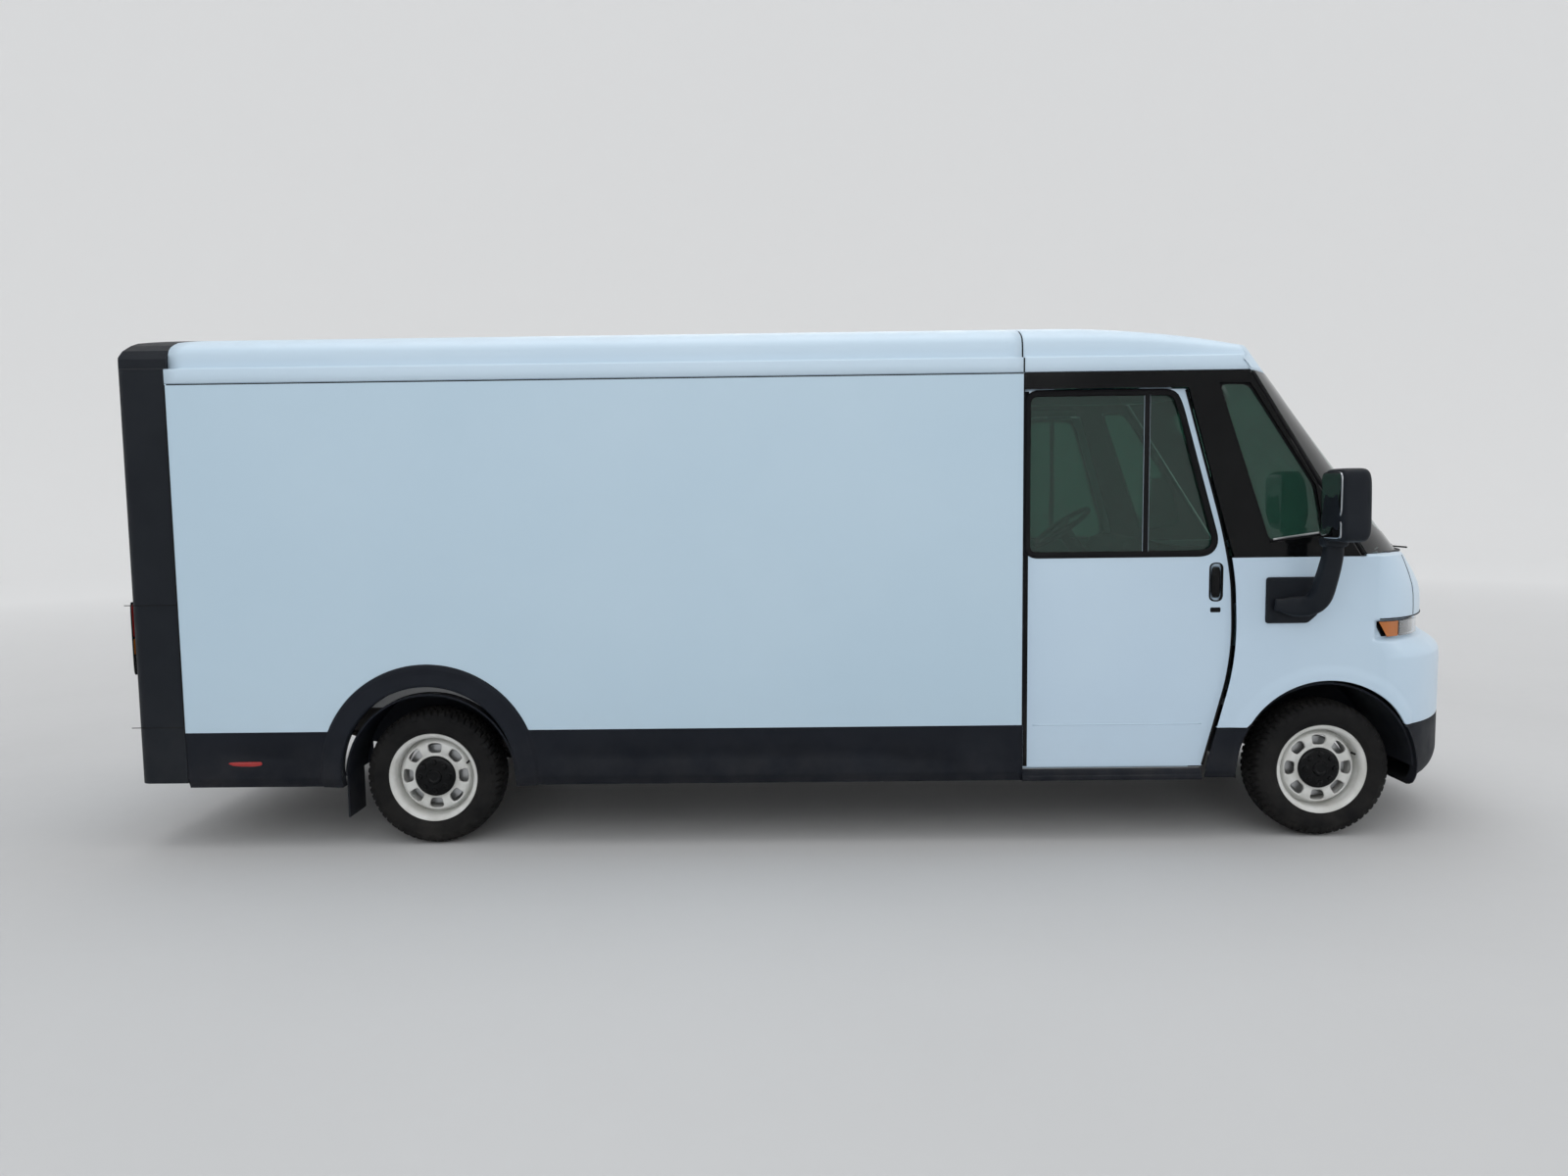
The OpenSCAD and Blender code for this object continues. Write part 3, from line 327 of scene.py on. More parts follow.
def make_grain():
    """A height for moulded grain or cast skin: pebbles of one size with a finer noise over them."""
    group, given, out = effect("moulded_grain", [("Size", NUMBER, 300.0), ("Pebbles", NUMBER, 0.6)],
                               [("Height", NUMBER), ("Unevenness", NUMBER)])
    where = object_place(group)
    cells = group.nodes.new("ShaderNodeTexVoronoi")
    group.links.new(where, cells.inputs["Vector"])
    group.links.new(given.outputs["Size"], cells.inputs["Scale"])
    pebbles = math_node(group, "MULTIPLY", cells.outputs["Distance"], given.outputs["Pebbles"])
    fine = noise(group, where, given.outputs["Size"], 4.0, 0.6)
    group.links.new(math_node(group, "ADD", pebbles, fine), out.inputs["Height"])
    group.links.new(noise(group, where, 9.0, 4.0, 0.6), out.inputs["Unevenness"])
    return group


def make_scratches():
    """A mask of short fine scratches, one way drawn out by Stretch, and a height for brushed metal."""
    group, given, out = effect("fine_scratches",
                               [("Size", NUMBER, 40.0), ("Stretch", ARROW, (1.0, 12.0, 12.0))],
                               [("Mask", NUMBER), ("Height", NUMBER)])
    drawn = group.nodes.new("ShaderNodeVectorMath")
    drawn.operation = "MULTIPLY"
    group.links.new(object_place(group), drawn.inputs[0])
    group.links.new(given.outputs["Stretch"], drawn.inputs[1])
    lines = noise(group, drawn.outputs[0], given.outputs["Size"], 5.0, 0.7)
    group.links.new(spread(group, lines, 0.62, 0.70), out.inputs["Mask"])
    group.links.new(lines, out.inputs["Height"])
    return group


EFFECTS = {"patches": make_patches(), "dust": make_road_dust(), "edges": make_worn_edges(),
           "grain": make_grain(), "scratches": make_scratches()}


def put_effect(tree, name, **values):
    """Places one of the shared effects in a material, with its own values."""
    node = tree.nodes.new("ShaderNodeGroup")
    node.node_tree = EFFECTS[name]
    for title, value in values.items():
        socket = node.inputs[title.replace("_", " ")]
        if hasattr(value, "is_output"):
            tree.links.new(value, socket)
        else:
            socket.default_value = value
    return node


# ---------------------------------------- finishes

DUST_TONE = (0.33, 0.30, 0.26, 1)


def shade(name, tone, second, rough, metal=0.0, coat=0.0, shine=0.5, patch=1.5, flecks=0.05, low_dust=0.25,
          top_dust=0.1,
          reach=0.9, edge_tone=None, edge=0.4, edge_width=0.004, grain=300.0, pebbles=0.5, depth=0.15,
          bump_size=0.0006, rough_play=0.12):
    """The common build of an opaque finish: two soft tones, a worn edge tone, road dust, an uneven roughness
    and a grain in the bump. Returns the material, its tree and its shader."""
    material = bpy.data.materials.new(name)
    material.use_nodes = True
    tree = material.node_tree
    shader = tree.nodes["Principled BSDF"]
    shader.inputs["Metallic"].default_value = metal
    shader.inputs["Coat Weight"].default_value = coat
    shader.inputs["Specular IOR Level"].default_value = shine
    shader.inputs["Coat Roughness"].default_value = 0.08
    colour = put_effect(tree, "patches", Tone=tone, Second_Tone=second, Patch_Size=patch,
                        Flecks=flecks).outputs[0]
    if edge_tone:
        worn = put_effect(tree, "edges", Width=edge_width, Amount=edge).outputs[0]
        colour = blend_tints(tree, worn, colour, edge_tone)
    dust = put_effect(tree, "dust", Reach=reach, Low_Dust=low_dust, Top_Dust=top_dust).outputs[0]
    colour = blend_tints(tree, dust, colour, DUST_TONE)
    tree.links.new(colour, shader.inputs["Base Color"])
    skin = put_effect(tree, "grain", Size=grain, Pebbles=pebbles)
    uneven = spread(tree, skin.outputs["Unevenness"], 0.3, 0.7, rough - rough_play / 2,
                    rough + rough_play / 2)
    tree.links.new(math_node(tree, "ADD", uneven, math_node(tree, "MULTIPLY", dust, 0.35), clamp=True),
                   shader.inputs["Roughness"])
    bump = tree.nodes.new("ShaderNodeBump")
    bump.inputs["Strength"].default_value = depth
    bump.inputs["Distance"].default_value = bump_size
    tree.links.new(skin.outputs["Height"], bump.inputs["Height"])
    tree.links.new(bump.outputs[0], shader.inputs["Normal"])
    return material, tree, shader


def floor_paint():
    """Matt studio floor: mid grey round the van, and painted paler with distance, where it serves as the
    backdrop: painted light that stands in for the brighter lit backdrop."""
    material, tree, shader = shade("studio_floor_paint", (0.56, 0.56, 0.56, 1), (0.55, 0.55, 0.55, 1), 0.75,
                                   patch=0.6,
                                   flecks=0.0, low_dust=0.0, top_dust=0.0, grain=20.0, depth=0.05, shine=0.2)
    length = tree.nodes.new("ShaderNodeVectorMath")
    length.operation = "LENGTH"
    tree.links.new(object_place(tree), length.inputs[0])
    # painted light: the floor's tone pales with distance from the van, as a brightly lit backdrop would
    far = spread(tree, length.outputs["Value"], 6.0, 20.0)
    near_tint = shader.inputs["Base Color"].links[0].from_socket
    tree.links.new(blend_tints(tree, far, near_tint, (0.90, 0.895, 0.885, 1)), shader.inputs["Base Color"])
    return material


def cab_white():
    """White clear-coated cab paint with a faint cold tint and orange peel."""
    return shade("cab_white_paint", (0.56, 0.70, 0.82, 1), (0.53, 0.67, 0.80, 1), 0.34, coat=0.25, patch=0.8,
                 flecks=0.02, low_dust=0.10, top_dust=0.04, edge_tone=(0.62, 0.65, 0.68, 1), edge=0.3,
                 grain=220.0, pebbles=0.2, depth=0.05)[0]


def box_grey_white():
    """Satin composite skin of the load box: a colder light grey with a fine fibre grain."""
    return shade("box_skin_paint", (0.52, 0.665, 0.775, 1), (0.49, 0.64, 0.755, 1), 0.46, patch=0.5,
                 flecks=0.06,
                 low_dust=0.12, top_dust=0.05, grain=240.0, pebbles=0.4, depth=0.22, bump_size=0.0008)[0]


def roof_white():
    """Satin white of the roof caps and rails."""
    return shade("roof_white_paint", (0.56, 0.69, 0.80, 1), (0.53, 0.665, 0.78, 1), 0.42, patch=0.6,
                 flecks=0.05,
                 low_dust=0.0, top_dust=0.16, edge_tone=(0.55, 0.58, 0.60, 1), edge=0.3, grain=200.0,
                 depth=0.10)[0]


def hoop_black():
    """Moulded black of the rear hoop, satin with a fine grain and a slight blue cast."""
    return shade("hoop_black_plastic", (0.008, 0.0105, 0.015, 1), (0.012, 0.015, 0.020, 1), 0.52, shine=0.16,
                 patch=2.0,
                 low_dust=0.06, top_dust=0.10, edge_tone=(0.07, 0.075, 0.085, 1), edge=0.5, grain=420.0,
                 depth=0.35)[0]


def sill_black():
    """Moulded navy-black of the side sills, flares and bumper, a little dusty at the bottom."""
    return shade("sill_black_plastic", (0.0070, 0.0090, 0.0140, 1), (0.0105, 0.013, 0.019, 1), 0.56,
                 shine=0.13, patch=2.5,
                 low_dust=0.10, top_dust=0.12, reach=0.62, edge_tone=(0.07, 0.075, 0.085, 1), edge=0.5,
                 grain=380.0, depth=0.40)[0]


def pillar_gloss():
    """Gloss black cab pillars and header."""
    return shade("pillar_gloss_black", (0.0020, 0.0022, 0.0028, 1), (0.0036, 0.0040, 0.0044, 1), 0.10,
                 coat=0.0, shine=0.16,
                 patch=3.0, flecks=0.3, low_dust=0.0, top_dust=0.04, grain=30.0, pebbles=0.1, depth=0.03,
                 rough_play=0.06)[0]


def seal_rubber():
    """Matt black rubber of the door and window seals."""
    return shade("seal_rubber", (0.004, 0.004, 0.005, 1), (0.007, 0.007, 0.008, 1), 0.70, shine=0.15,
                 low_dust=0.15,
                 grain=500.0, depth=0.25)[0]


def tyre_rubber():
    """Black tyre rubber with a dull bloom and dust in the tread."""
    return shade("tyre_rubber", (0.0055, 0.0058, 0.0065, 1), (0.010, 0.010, 0.0105, 1), 0.66, shine=0.10,
                 patch=5.0,
                 low_dust=0.06, top_dust=0.06, reach=0.9, edge_tone=(0.05, 0.048, 0.045, 1), edge=0.5,
                 grain=600.0, depth=0.35)[0]


def wheel_white():
    """White powder coat on the steel wheels, with brake dust in soft patches."""
    return shade("wheel_white_coat", (0.74, 0.75, 0.73, 1), (0.60, 0.60, 0.57, 1), 0.36, coat=0.15,
                 patch=9.0,
                 flecks=0.25, low_dust=0.20, top_dust=0.05, edge_tone=(0.42, 0.40, 0.37, 1), edge=0.6,
                 grain=260.0, depth=0.10)[0]


def chassis_black():
    """Black chassis coating with rust at the edges."""
    return shade("chassis_black_coat", (0.012, 0.012, 0.013, 1), (0.028, 0.026, 0.025, 1), 0.55, patch=4.0,
                 flecks=0.3, low_dust=0.5, top_dust=0.4, edge_tone=(0.11, 0.045, 0.02, 1), edge=0.8,
                 grain=120.0,
                 depth=0.3)[0]


def battery_cast():
    """Cast and painted grey of the battery pack."""
    return shade("battery_grey_cast", (0.20, 0.205, 0.21, 1), (0.26, 0.265, 0.27, 1), 0.48, metal=0.6,
                 patch=3.0,
                 flecks=0.2, low_dust=0.45, edge_tone=(0.42, 0.42, 0.43, 1), grain=160.0, depth=0.35)[0]


def iron_cast():
    """Bare cast iron of the steering knuckles, browned by rust."""
    return shade("knuckle_cast_iron", (0.075, 0.065, 0.058, 1), (0.13, 0.065, 0.035, 1), 0.68, metal=0.5,
                 patch=14.0,
                 flecks=0.6, low_dust=0.3, grain=140.0, depth=0.6)[0]


def liner_grey():
    """Light grey lining panels with scuffs."""
    return shade("liner_grey_panel", (0.42, 0.43, 0.44, 1), (0.36, 0.37, 0.38, 1), 0.58, patch=2.0,
                 flecks=0.25,
                 low_dust=0.2, edge_tone=(0.28, 0.28, 0.28, 1), grain=320.0, depth=0.2)[0]


def dash_grain():
    """Dark grey grained dashboard and cab trim."""
    return shade("dash_dark_grain", (0.014, 0.015, 0.017, 1), (0.022, 0.023, 0.026, 1), 0.60, patch=4.0,
                 top_dust=0.10, edge_tone=(0.05, 0.05, 0.055, 1), edge=0.3, grain=650.0, pebbles=0.3,
                 depth=0.2, shine=0.25)[0]


def track_alloy():
    """Brushed aluminium of tracks, hinges and step edges."""
    material, tree, shader = shade("track_brushed_alloy", (0.52, 0.53, 0.54, 1), (0.44, 0.45, 0.46, 1), 0.34,
                                   metal=1.0, patch=6.0, flecks=0.1, low_dust=0.35, grain=200.0, depth=0.1)
    brushed = put_effect(tree, "scratches", Size=30.0, Stretch=(1.0, 14.0, 14.0))
    shader.inputs["Anisotropic"].default_value = 0.3
    bump = tree.nodes.new("ShaderNodeBump")
    bump.inputs["Strength"].default_value = 0.12
    bump.inputs["Distance"].default_value = 0.0004
    tree.links.new(brushed.outputs["Height"], bump.inputs["Height"])
    tree.links.new(bump.outputs[0], shader.inputs["Normal"])
    return material


def deck_plate():
    """Ribbed non-slip aluminium floor: raised studs in rows."""
    material, tree, shader = shade("deck_stud_plate", (0.30, 0.31, 0.32, 1), (0.38, 0.385, 0.39, 1), 0.45,
                                   metal=0.8,
                                   patch=2.0, flecks=0.3, low_dust=0.0, top_dust=0.25, grain=100.0,
                                   depth=0.2)
    studs = tree.nodes.new("ShaderNodeTexVoronoi")
    studs.inputs["Scale"].default_value = 40.0
    studs.inputs["Randomness"].default_value = 0.0
    tree.links.new(object_place(tree), studs.inputs["Vector"])
    bump = tree.nodes.new("ShaderNodeBump")
    bump.inputs["Strength"].default_value = 0.5
    bump.inputs["Distance"].default_value = 0.002
    tree.links.new(spread(tree, studs.outputs["Distance"], 0.35, 0.15), bump.inputs["Height"])
    tree.links.new(bump.outputs[0], shader.inputs["Normal"])
    return material


def pane_glass(name, tint, through, rough=0.0):
    """Tinted glass: the shader's own transmission and tint, with a faint film of dust that only roughens
    it."""
    material = bpy.data.materials.new(name)
    material.use_nodes = True
    tree = material.node_tree
    shader = tree.nodes["Principled BSDF"]
    shader.inputs["Base Color"].default_value = tint
    shader.inputs["Metallic"].default_value = 0.0
    shader.inputs["Transmission Weight"].default_value = through
    shader.inputs["IOR"].default_value = 1.45
    film = spread(tree, noise(tree, object_place(tree), 5.0, 5.0, 0.7), 0.35, 0.75, rough, rough + 0.02)
    tree.links.new(film, shader.inputs["Roughness"])
    wave = tree.nodes.new("ShaderNodeBump")
    wave.inputs["Strength"].default_value = 0.02
    wave.inputs["Distance"].default_value = 0.001
    tree.links.new(noise(tree, object_place(tree), 3.0, 1.0), wave.inputs["Height"])
    tree.links.new(wave.outputs[0], shader.inputs["Normal"])
    return material


def lens_plastic(name, tint, through, rough=0.06, ribs=0.0):
    """Coloured lamp lens: clear moulded plastic with upright ribs worked into its bump."""
    material = pane_glass(name, tint, through, rough)
    tree = material.node_tree
    shader = tree.nodes["Principled BSDF"]
    if ribs:
        bars = tree.nodes.new("ShaderNodeTexWave")
        bars.inputs["Scale"].default_value = ribs
        tree.links.new(object_place(tree), bars.inputs["Vector"])
        bump = tree.nodes.new("ShaderNodeBump")
        bump.inputs["Strength"].default_value = 0.5
        bump.inputs["Distance"].default_value = 0.002
        tree.links.new(bars.outputs["Fac"], bump.inputs["Height"])
        tree.links.new(bump.outputs[0], shader.inputs["Normal"])
    shader.inputs["Coat Weight"].default_value = 0.5
    return material


def mirror_silver():
    """Silvered mirror glass with faint smears."""
    return shade("mirror_silver", (0.42, 0.44, 0.46, 1), (0.40, 0.42, 0.44, 1), 0.05, metal=1.0, patch=4.0,
                 flecks=0.02, low_dust=0.0, top_dust=0.0, grain=10.0, depth=0.01, rough_play=0.05)[0]


def seat_cloth():
    """Dark woven seat cloth: two crossed sets of threads in the bump and a soft sheen."""
    material, tree, shader = shade("seat_woven_cloth", (0.030, 0.032, 0.038, 1), (0.044, 0.046, 0.052, 1),
                                   0.85,
                                   patch=8.0, flecks=0.6, low_dust=0.0, top_dust=0.08, grain=400.0,
                                   depth=0.2)
    shader.inputs["Sheen Weight"].default_value = 0.35
    shader.inputs["Sheen Roughness"].default_value = 0.5
    where = object_place(tree)
    heights = []
    for turn in (45.0, -45.0):
        turned = tree.nodes.new("ShaderNodeMapping")
        turned.inputs["Rotation"].default_value = (math.radians(turn), 0.3, math.radians(turn))
        tree.links.new(where, turned.inputs["Vector"])
        threads = tree.nodes.new("ShaderNodeTexWave")
        threads.inputs["Scale"].default_value = 130.0
        threads.inputs["Distortion"].default_value = 0.6
        tree.links.new(turned.outputs[0], threads.inputs["Vector"])
        heights.append(threads.outputs["Fac"])
    bump = tree.nodes.new("ShaderNodeBump")
    bump.inputs["Strength"].default_value = 0.5
    bump.inputs["Distance"].default_value = 0.0012
    tree.links.new(math_node(tree, "MAXIMUM", heights[0], heights[1]), bump.inputs["Height"])
    tree.links.new(bump.outputs[0], shader.inputs["Normal"])
    return material


FINISH = {
    "frame_black": chassis_black(), "battery_grey": battery_cast(), "floor_grey": deck_plate(),
    "box_white": box_grey_white(), "cab_white": cab_white(), "roof_white": roof_white(),
    "liner_grey": liner_grey(), "trim_black": sill_black(), "hoop_black": hoop_black(),
    "gloss_black": pillar_gloss(), "seal": seal_rubber(), "track_alu": track_alloy(),
    "dash_grey": dash_grain(), "wheel_white": wheel_white(), "tyre_rubber": tyre_rubber(),
    "knuckle_iron": iron_cast(), "seat_fabric": seat_cloth(), "mirror": mirror_silver(),
    "tinted_glass": pane_glass("pane_green_tint", (0.10, 0.22, 0.175, 1), 0.90),
    "lamp_clear": lens_plastic("lens_clear", (0.93, 0.95, 0.97, 1), 0.95),
    "lamp_red": lens_plastic("lens_red", (0.55, 0.015, 0.012, 1), 0.35, 0.12, 60.0),
    "lamp_amber": lens_plastic("lens_amber", (0.62, 0.17, 0.008, 1), 0.20, 0.12, 60.0),
}


# ---------------------------------------- places taken from the CAD

SIDES = (("right", -1.0), ("left", 1.0))


def middle(node):
    """The centre of a CAD node's box."""
    low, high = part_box(node)
    return (low + high) / 2


FRONT_X = middle("tyre_front_right").x
REAR_X = middle("tyre_rear_right").x
HUB_Z = middle("tyre_front_right").z
TYRE_Y = abs(middle("tyre_front_right").y)
BODY_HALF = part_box("side_panel_left")[1].y
BOX_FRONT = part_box("box_roof")[1].x
RAIL_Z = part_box("side_panel_left")[1].z
SCREEN_LEAN = math.radians(39.5)
BELT_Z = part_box("cab_body")[1].z


def smooth_step(value, start, end):
    """Goes from 0 at start to 1 at end along 3t^2 - 2t^3."""
    share = np.clip((value - start) / (end - start), 0.0, 1.0)
    return share * share * (3.0 - 2.0 * share)


def power_round(angle, power):
    """Cosine and sine of a rounded square: each raised to 2 / power with its sign kept."""
    cosine, sine = np.cos(angle), np.sin(angle)
    return (np.sign(cosine) * np.abs(cosine) ** (2 / power), np.sign(sine) * np.abs(sine) ** (2 / power))


# ---------------------------------------- tyres and wheels

def wheel_points(radius, turn, across, centre_x, side):
    """Puts radius, turn about the axle and distance outward from the tyre's middle into the van's frame."""
    return grid_points(centre_x + radius * np.cos(turn), side * (TYRE_Y + across),
                       HUB_Z + radius * np.sin(turn))


def make_tyre(end, side_name, side, centre_x):
    """A tyre: a closed section carried round the axle. The section is a rounded square of half width and of
    height between the beads and the crown. The crown is pressed in by 9 mm along zigzag grooves, by cross
    cuts at 58 pitches, and by cuts that run over the shoulder; two raised rings go round each sidewall."""
    outer, widest, bead, half = HUB_Z, 0.289, 0.2345, 0.1125
    turn = np.linspace(0, 2 * np.pi, 58 * 11 + 1)[None, :]
    round_angle = np.linspace(0, np.pi, 73)
    cosine, sine = power_round(round_angle, 3.1)
    crown_y, crown_r = half * cosine, widest + (outer - widest) * sine
    drop = np.linspace(0, 1, 12)[1:]
    lower_r = widest - (widest - bead) * drop
    lower_y = half - 0.014 * drop ** 2
    floor_y = np.linspace(lower_y[-1], -lower_y[-1], 6)[1:-1]
    across = np.concatenate([-lower_y[::-1], crown_y[::-1], lower_y, floor_y])[:, None]
    radius = np.concatenate([lower_r[::-1], crown_r[::-1], lower_r, np.full(4, bead)])[:, None]
    pitch = (turn * 58 / (2 * np.pi)) % 1.0
    wave = 0.004 * np.sin(turn * 58)
    on_crown = smooth_step(radius, outer - 0.030, outer - 0.012)
    ribs = np.zeros_like(across + turn)
    for line in (-0.058, -0.021, 0.021, 0.058):
        ribs = np.maximum(ribs, 1 - smooth_step(np.abs(across - line - wave), 0.0028, 0.0060))
    slant = (pitch + across * 6.0 + 0.5 * (np.abs(across) > 0.058)) % 1.0
    cuts = (1 - smooth_step(np.abs(slant - 0.5), 0.10, 0.20)) * smooth_step(np.abs(across), 0.014, 0.020)
    shoulder = smooth_step(radius, outer - 0.052, outer - 0.040) * smooth_step(np.abs(across), 0.092, 0.100)
    long_lug = 1 - smooth_step(np.abs((turn * 29 / (2 * np.pi)) % 1.0 - 0.5), 0.20, 0.30)
    press = 0.009 * on_crown * np.maximum(ribs, cuts)
    shoulder_in = 0.0045 * shoulder * long_lug
    rings = 0.0016 * (np.exp(-((radius - 0.262) / 0.003) ** 2) + np.exp(-((radius - 0.303) / 0.0035) ** 2))
    across = across - np.sign(across) * shoulder_in * (np.abs(across) > 0.09) + np.sign(across) * rings
    across = np.clip(across, -half, half)
    radius = radius - press + 0 * turn
    points = wheel_points(radius, turn, across, centre_x, side)
    tyre = surface_piece(f"tyre_tread_{end}_{side_name}", np.concatenate([points, points[:1]]), join_u=True,
                         join_v=True)
    finished(mend_normals(tyre), f"road_wheel_{end}_{side_name}", "tyre_rubber", FINISH["tyre_rubber"],
             f"tyre_{end}_{side_name}")


def make_wheel_disc(end, side_name, side, centre_x):
    """The pressed disc: eight equal sectors. In each, lines run from a rounded hand hole to the sector's
    edge, both drawn in polar coordinates, so the hole is a rounded wedge. The face is a low ring, raised
    round the holes, and each hole's edge is turned in."""
    inner, outer = 0.088, 0.200
    centre, reach, hole_reach, hole_turn = 0.147, 0.056, 0.0250, math.radians(13.0)
    way = np.linspace(0, 2 * np.pi, 49)[:, None]
    out = np.linspace(0, 1, 9)[None, :]
    hole = power_round(way, 3.4)
    square = [np.cos(way), np.sin(way)]
    longest = np.maximum(np.abs(square[0]), np.abs(square[1]))
    turn_part = (1 - out) * hole[0] * hole_turn + out * square[0] / longest * math.radians(22.5)
    reach_part = (1 - out) * hole[1] * hole_reach + out * square[1] / longest * reach
    radius = centre + reach_part - 0.003 * (square[0] / longest) ** 2 * 0
    radius = np.where(out == 1, np.clip(radius, inner, outer), radius)
    sectors = []
    for sector in range(8):
        turn = turn_part + math.radians(45.0 * sector)
        face = 0.052 + 0.012 * np.exp(-((radius - 0.150) / 0.030) ** 2) + 0.010 * smooth_step(radius, 0.12,
                                                                                              0.09)
        face = face - 0.034 * smooth_step(radius, 0.178, outer)
        turned_in = 0.010 * (1 - smooth_step(out, 0.0, 0.16))
        points = wheel_points(radius, turn, face - turned_in, centre_x, side)
        sectors.append(surface_piece(f"disc_sector_{sector}", points, join_u=True))
    disc = join_meshes(f"wheel_disc_{end}_{side_name}", sectors)
    tidy_mesh(disc.data)
    thicken(disc, 0.0035)
    finished(disc, f"road_wheel_{end}_{side_name}", "wheel_white", FINISH["wheel_white"],
             f"wheel_{end}_{side_name}")


def make_rim(end, side_name, side, centre_x):
    """The rim: a rolled section of the outer lip, the bead seat, the drop centre and the inner lip, carried
    round the axle."""
    section = [(0.199, 0.016), (0.205, 0.020), (0.2085, 0.034), (0.2095, 0.060), (0.2115, 0.076),
               (0.2165, 0.086),
               (0.2250, 0.0905), (0.2320, 0.0935), (0.2335, 0.0985), (0.2318, 0.1010), (0.2290, 0.0975),
               (0.2215, 0.0945), (0.2140, 0.0890), (0.2075, 0.078), (0.2055, 0.060), (0.2045, 0.036),
               (0.1990, 0.012), (0.1860, 0.002), (0.1850, -0.045), (0.2000, -0.062), (0.2090, -0.085),
               (0.2250, -0.0915), (0.2335, -0.0985), (0.2300, -0.1000), (0.2200, -0.0950), (0.2030, -0.086),
               (0.1950, -0.066), (0.1805, -0.048), (0.1815, 0.006), (0.1960, 0.014), (0.199, 0.016)]
    section = soften_loop(np.array(section), 5)
    turn = np.linspace(0, 2 * np.pi, 145)[None, :]
    points = wheel_points(section[:, :1], turn, section[:, 1:], centre_x, side)
    rim = surface_piece(f"wheel_rim_{end}_{side_name}", points, join_u=True, join_v=True)
    finished(mend_normals(rim), f"road_wheel_{end}_{side_name}", "wheel_white", FINISH["wheel_white"])


def soften_loop(points, finer):
    """Runs a closed string of points through a periodic Catmull-Rom curve with so many steps a span."""
    points = points[:-1] if np.allclose(points[0], points[-1]) else points
    before, after, second = np.roll(points, 1, 0), np.roll(points, -1, 0), np.roll(points, -2, 0)
    step = (np.arange(finer) / finer)[None, :, None]
    a, b, c, d = before[:, None], points[:, None], after[:, None], second[:, None]
    curve = 0.5 * (2 * b + (c - a) * step + (2 * a - 5 * b + 4 * c - d) * step ** 2
                   + (3 * b - a - 3 * c + d) * step ** 3)
    curve = curve.reshape(-1, points.shape[1])
    return np.concatenate([curve, curve[:1]])


def thicken(piece, wall, bevel=0.0, offset=-1.0):
    """Gives an open sheet a wall, inward of its face, and rounds its rim."""
    solid = piece.modifiers.new("wall", "SOLIDIFY")
    solid.thickness = wall
    solid.offset = offset
    if bevel:
        soft = piece.modifiers.new("soft_rim", "BEVEL")
        soft.width = bevel
        soft.segments = 2
        soft.limit_method = "ANGLE"
    return piece


def make_hub_cover(end, side_name, side, centre_x):
    """The black hub cover: a height over polar coordinates, with a rolled rim, a raised boss in the middle
    and eight lug caps on a circle, each a rounded hexagon."""
    radius = np.linspace(0, 1, 60)[:, None] ** 0.8 * 0.107
    turn = np.linspace(0, 2 * np.pi, 193)[None, :]
    dome = 0.064 + 0.018 * np.sqrt(np.clip(1 - (radius / 0.1075) ** 5, 0, 1)) + 0 * turn
    boss = 0.010 * (1 - smooth_step(radius, 0.034, 0.042)) - 0.004 * (1 - smooth_step(radius, 0.020, 0.028))
    local = (turn + math.radians(22.5)) % math.radians(45) - math.radians(22.5)
    along, aside = radius * np.cos(local) - 0.076, radius * np.sin(local)
    hexagon = np.maximum(np.abs(along), np.maximum(np.abs(0.5 * along + 0.866 * aside),
                                                   np.abs(0.5 * along - 0.866 * aside)))
    lugs = 0.012 * (1 - smooth_step(hexagon, 0.0105, 0.0150))
    points = wheel_points(radius + 0 * turn, turn, dome + boss + lugs, centre_x, side)
    back = wheel_points(0.107 + 0 * turn, turn, 0.046 + 0 * turn, centre_x, side)
    cover = surface_piece(f"hub_cover_{end}_{side_name}", np.concatenate([points, back]), join_v=True)
    thicken(cover, 0.003)
    finished(cover, f"road_wheel_{end}_{side_name}", "gloss_black", FINISH["gloss_black"])


def make_valve(end, side_name, side, centre_x):
    """A short rubber valve stem: a round section carried outward, narrow at the cap."""
    along = np.array([0.050, 0.060, 0.072, 0.073, 0.086, 0.088])[:, None]
    girth = np.array([0.0060, 0.0055, 0.0045, 0.0052, 0.0052, 0.0001])[:, None]
    turn = np.linspace(0, 2 * np.pi, 17)[None, :]
    points = grid_points(centre_x + 0.192 * math.cos(0.4) + girth * np.cos(turn),
                         side * (TYRE_Y + along + 0 * turn),
                       HUB_Z + 0.192 * math.sin(0.4) + girth * np.sin(turn))
    stem = surface_piece(f"valve_stem_{end}_{side_name}", points, join_v=True)
    finished(mend_normals(stem), f"road_wheel_{end}_{side_name}", "tyre_rubber", FINISH["seal"])


def make_brake_disc(end, side_name, side, centre_x):
    """The brake disc seen through the hand holes: a ring with a hat, drawn as a section carried round the
    axle."""
    section = np.array([(0.060, 0.034), (0.092, 0.034), (0.096, 0.014), (0.158, 0.012), (0.160, 0.010),
                        (0.160, -0.014), (0.158, -0.016), (0.092, -0.016), (0.090, 0.010), (0.060, 0.012)])
    turn = np.linspace(0, 2 * np.pi, 97)[None, :]
    section = np.concatenate([section, section[:1]])
    points = wheel_points(section[:, :1], turn, section[:, 1:], centre_x, side)
    disc = surface_piece(f"brake_disc_{end}_{side_name}", points, join_u=True, join_v=True, smooth=False)
    finished(mend_normals(disc), f"road_wheel_{end}_{side_name}", "knuckle_iron", FINISH["track_alu"])


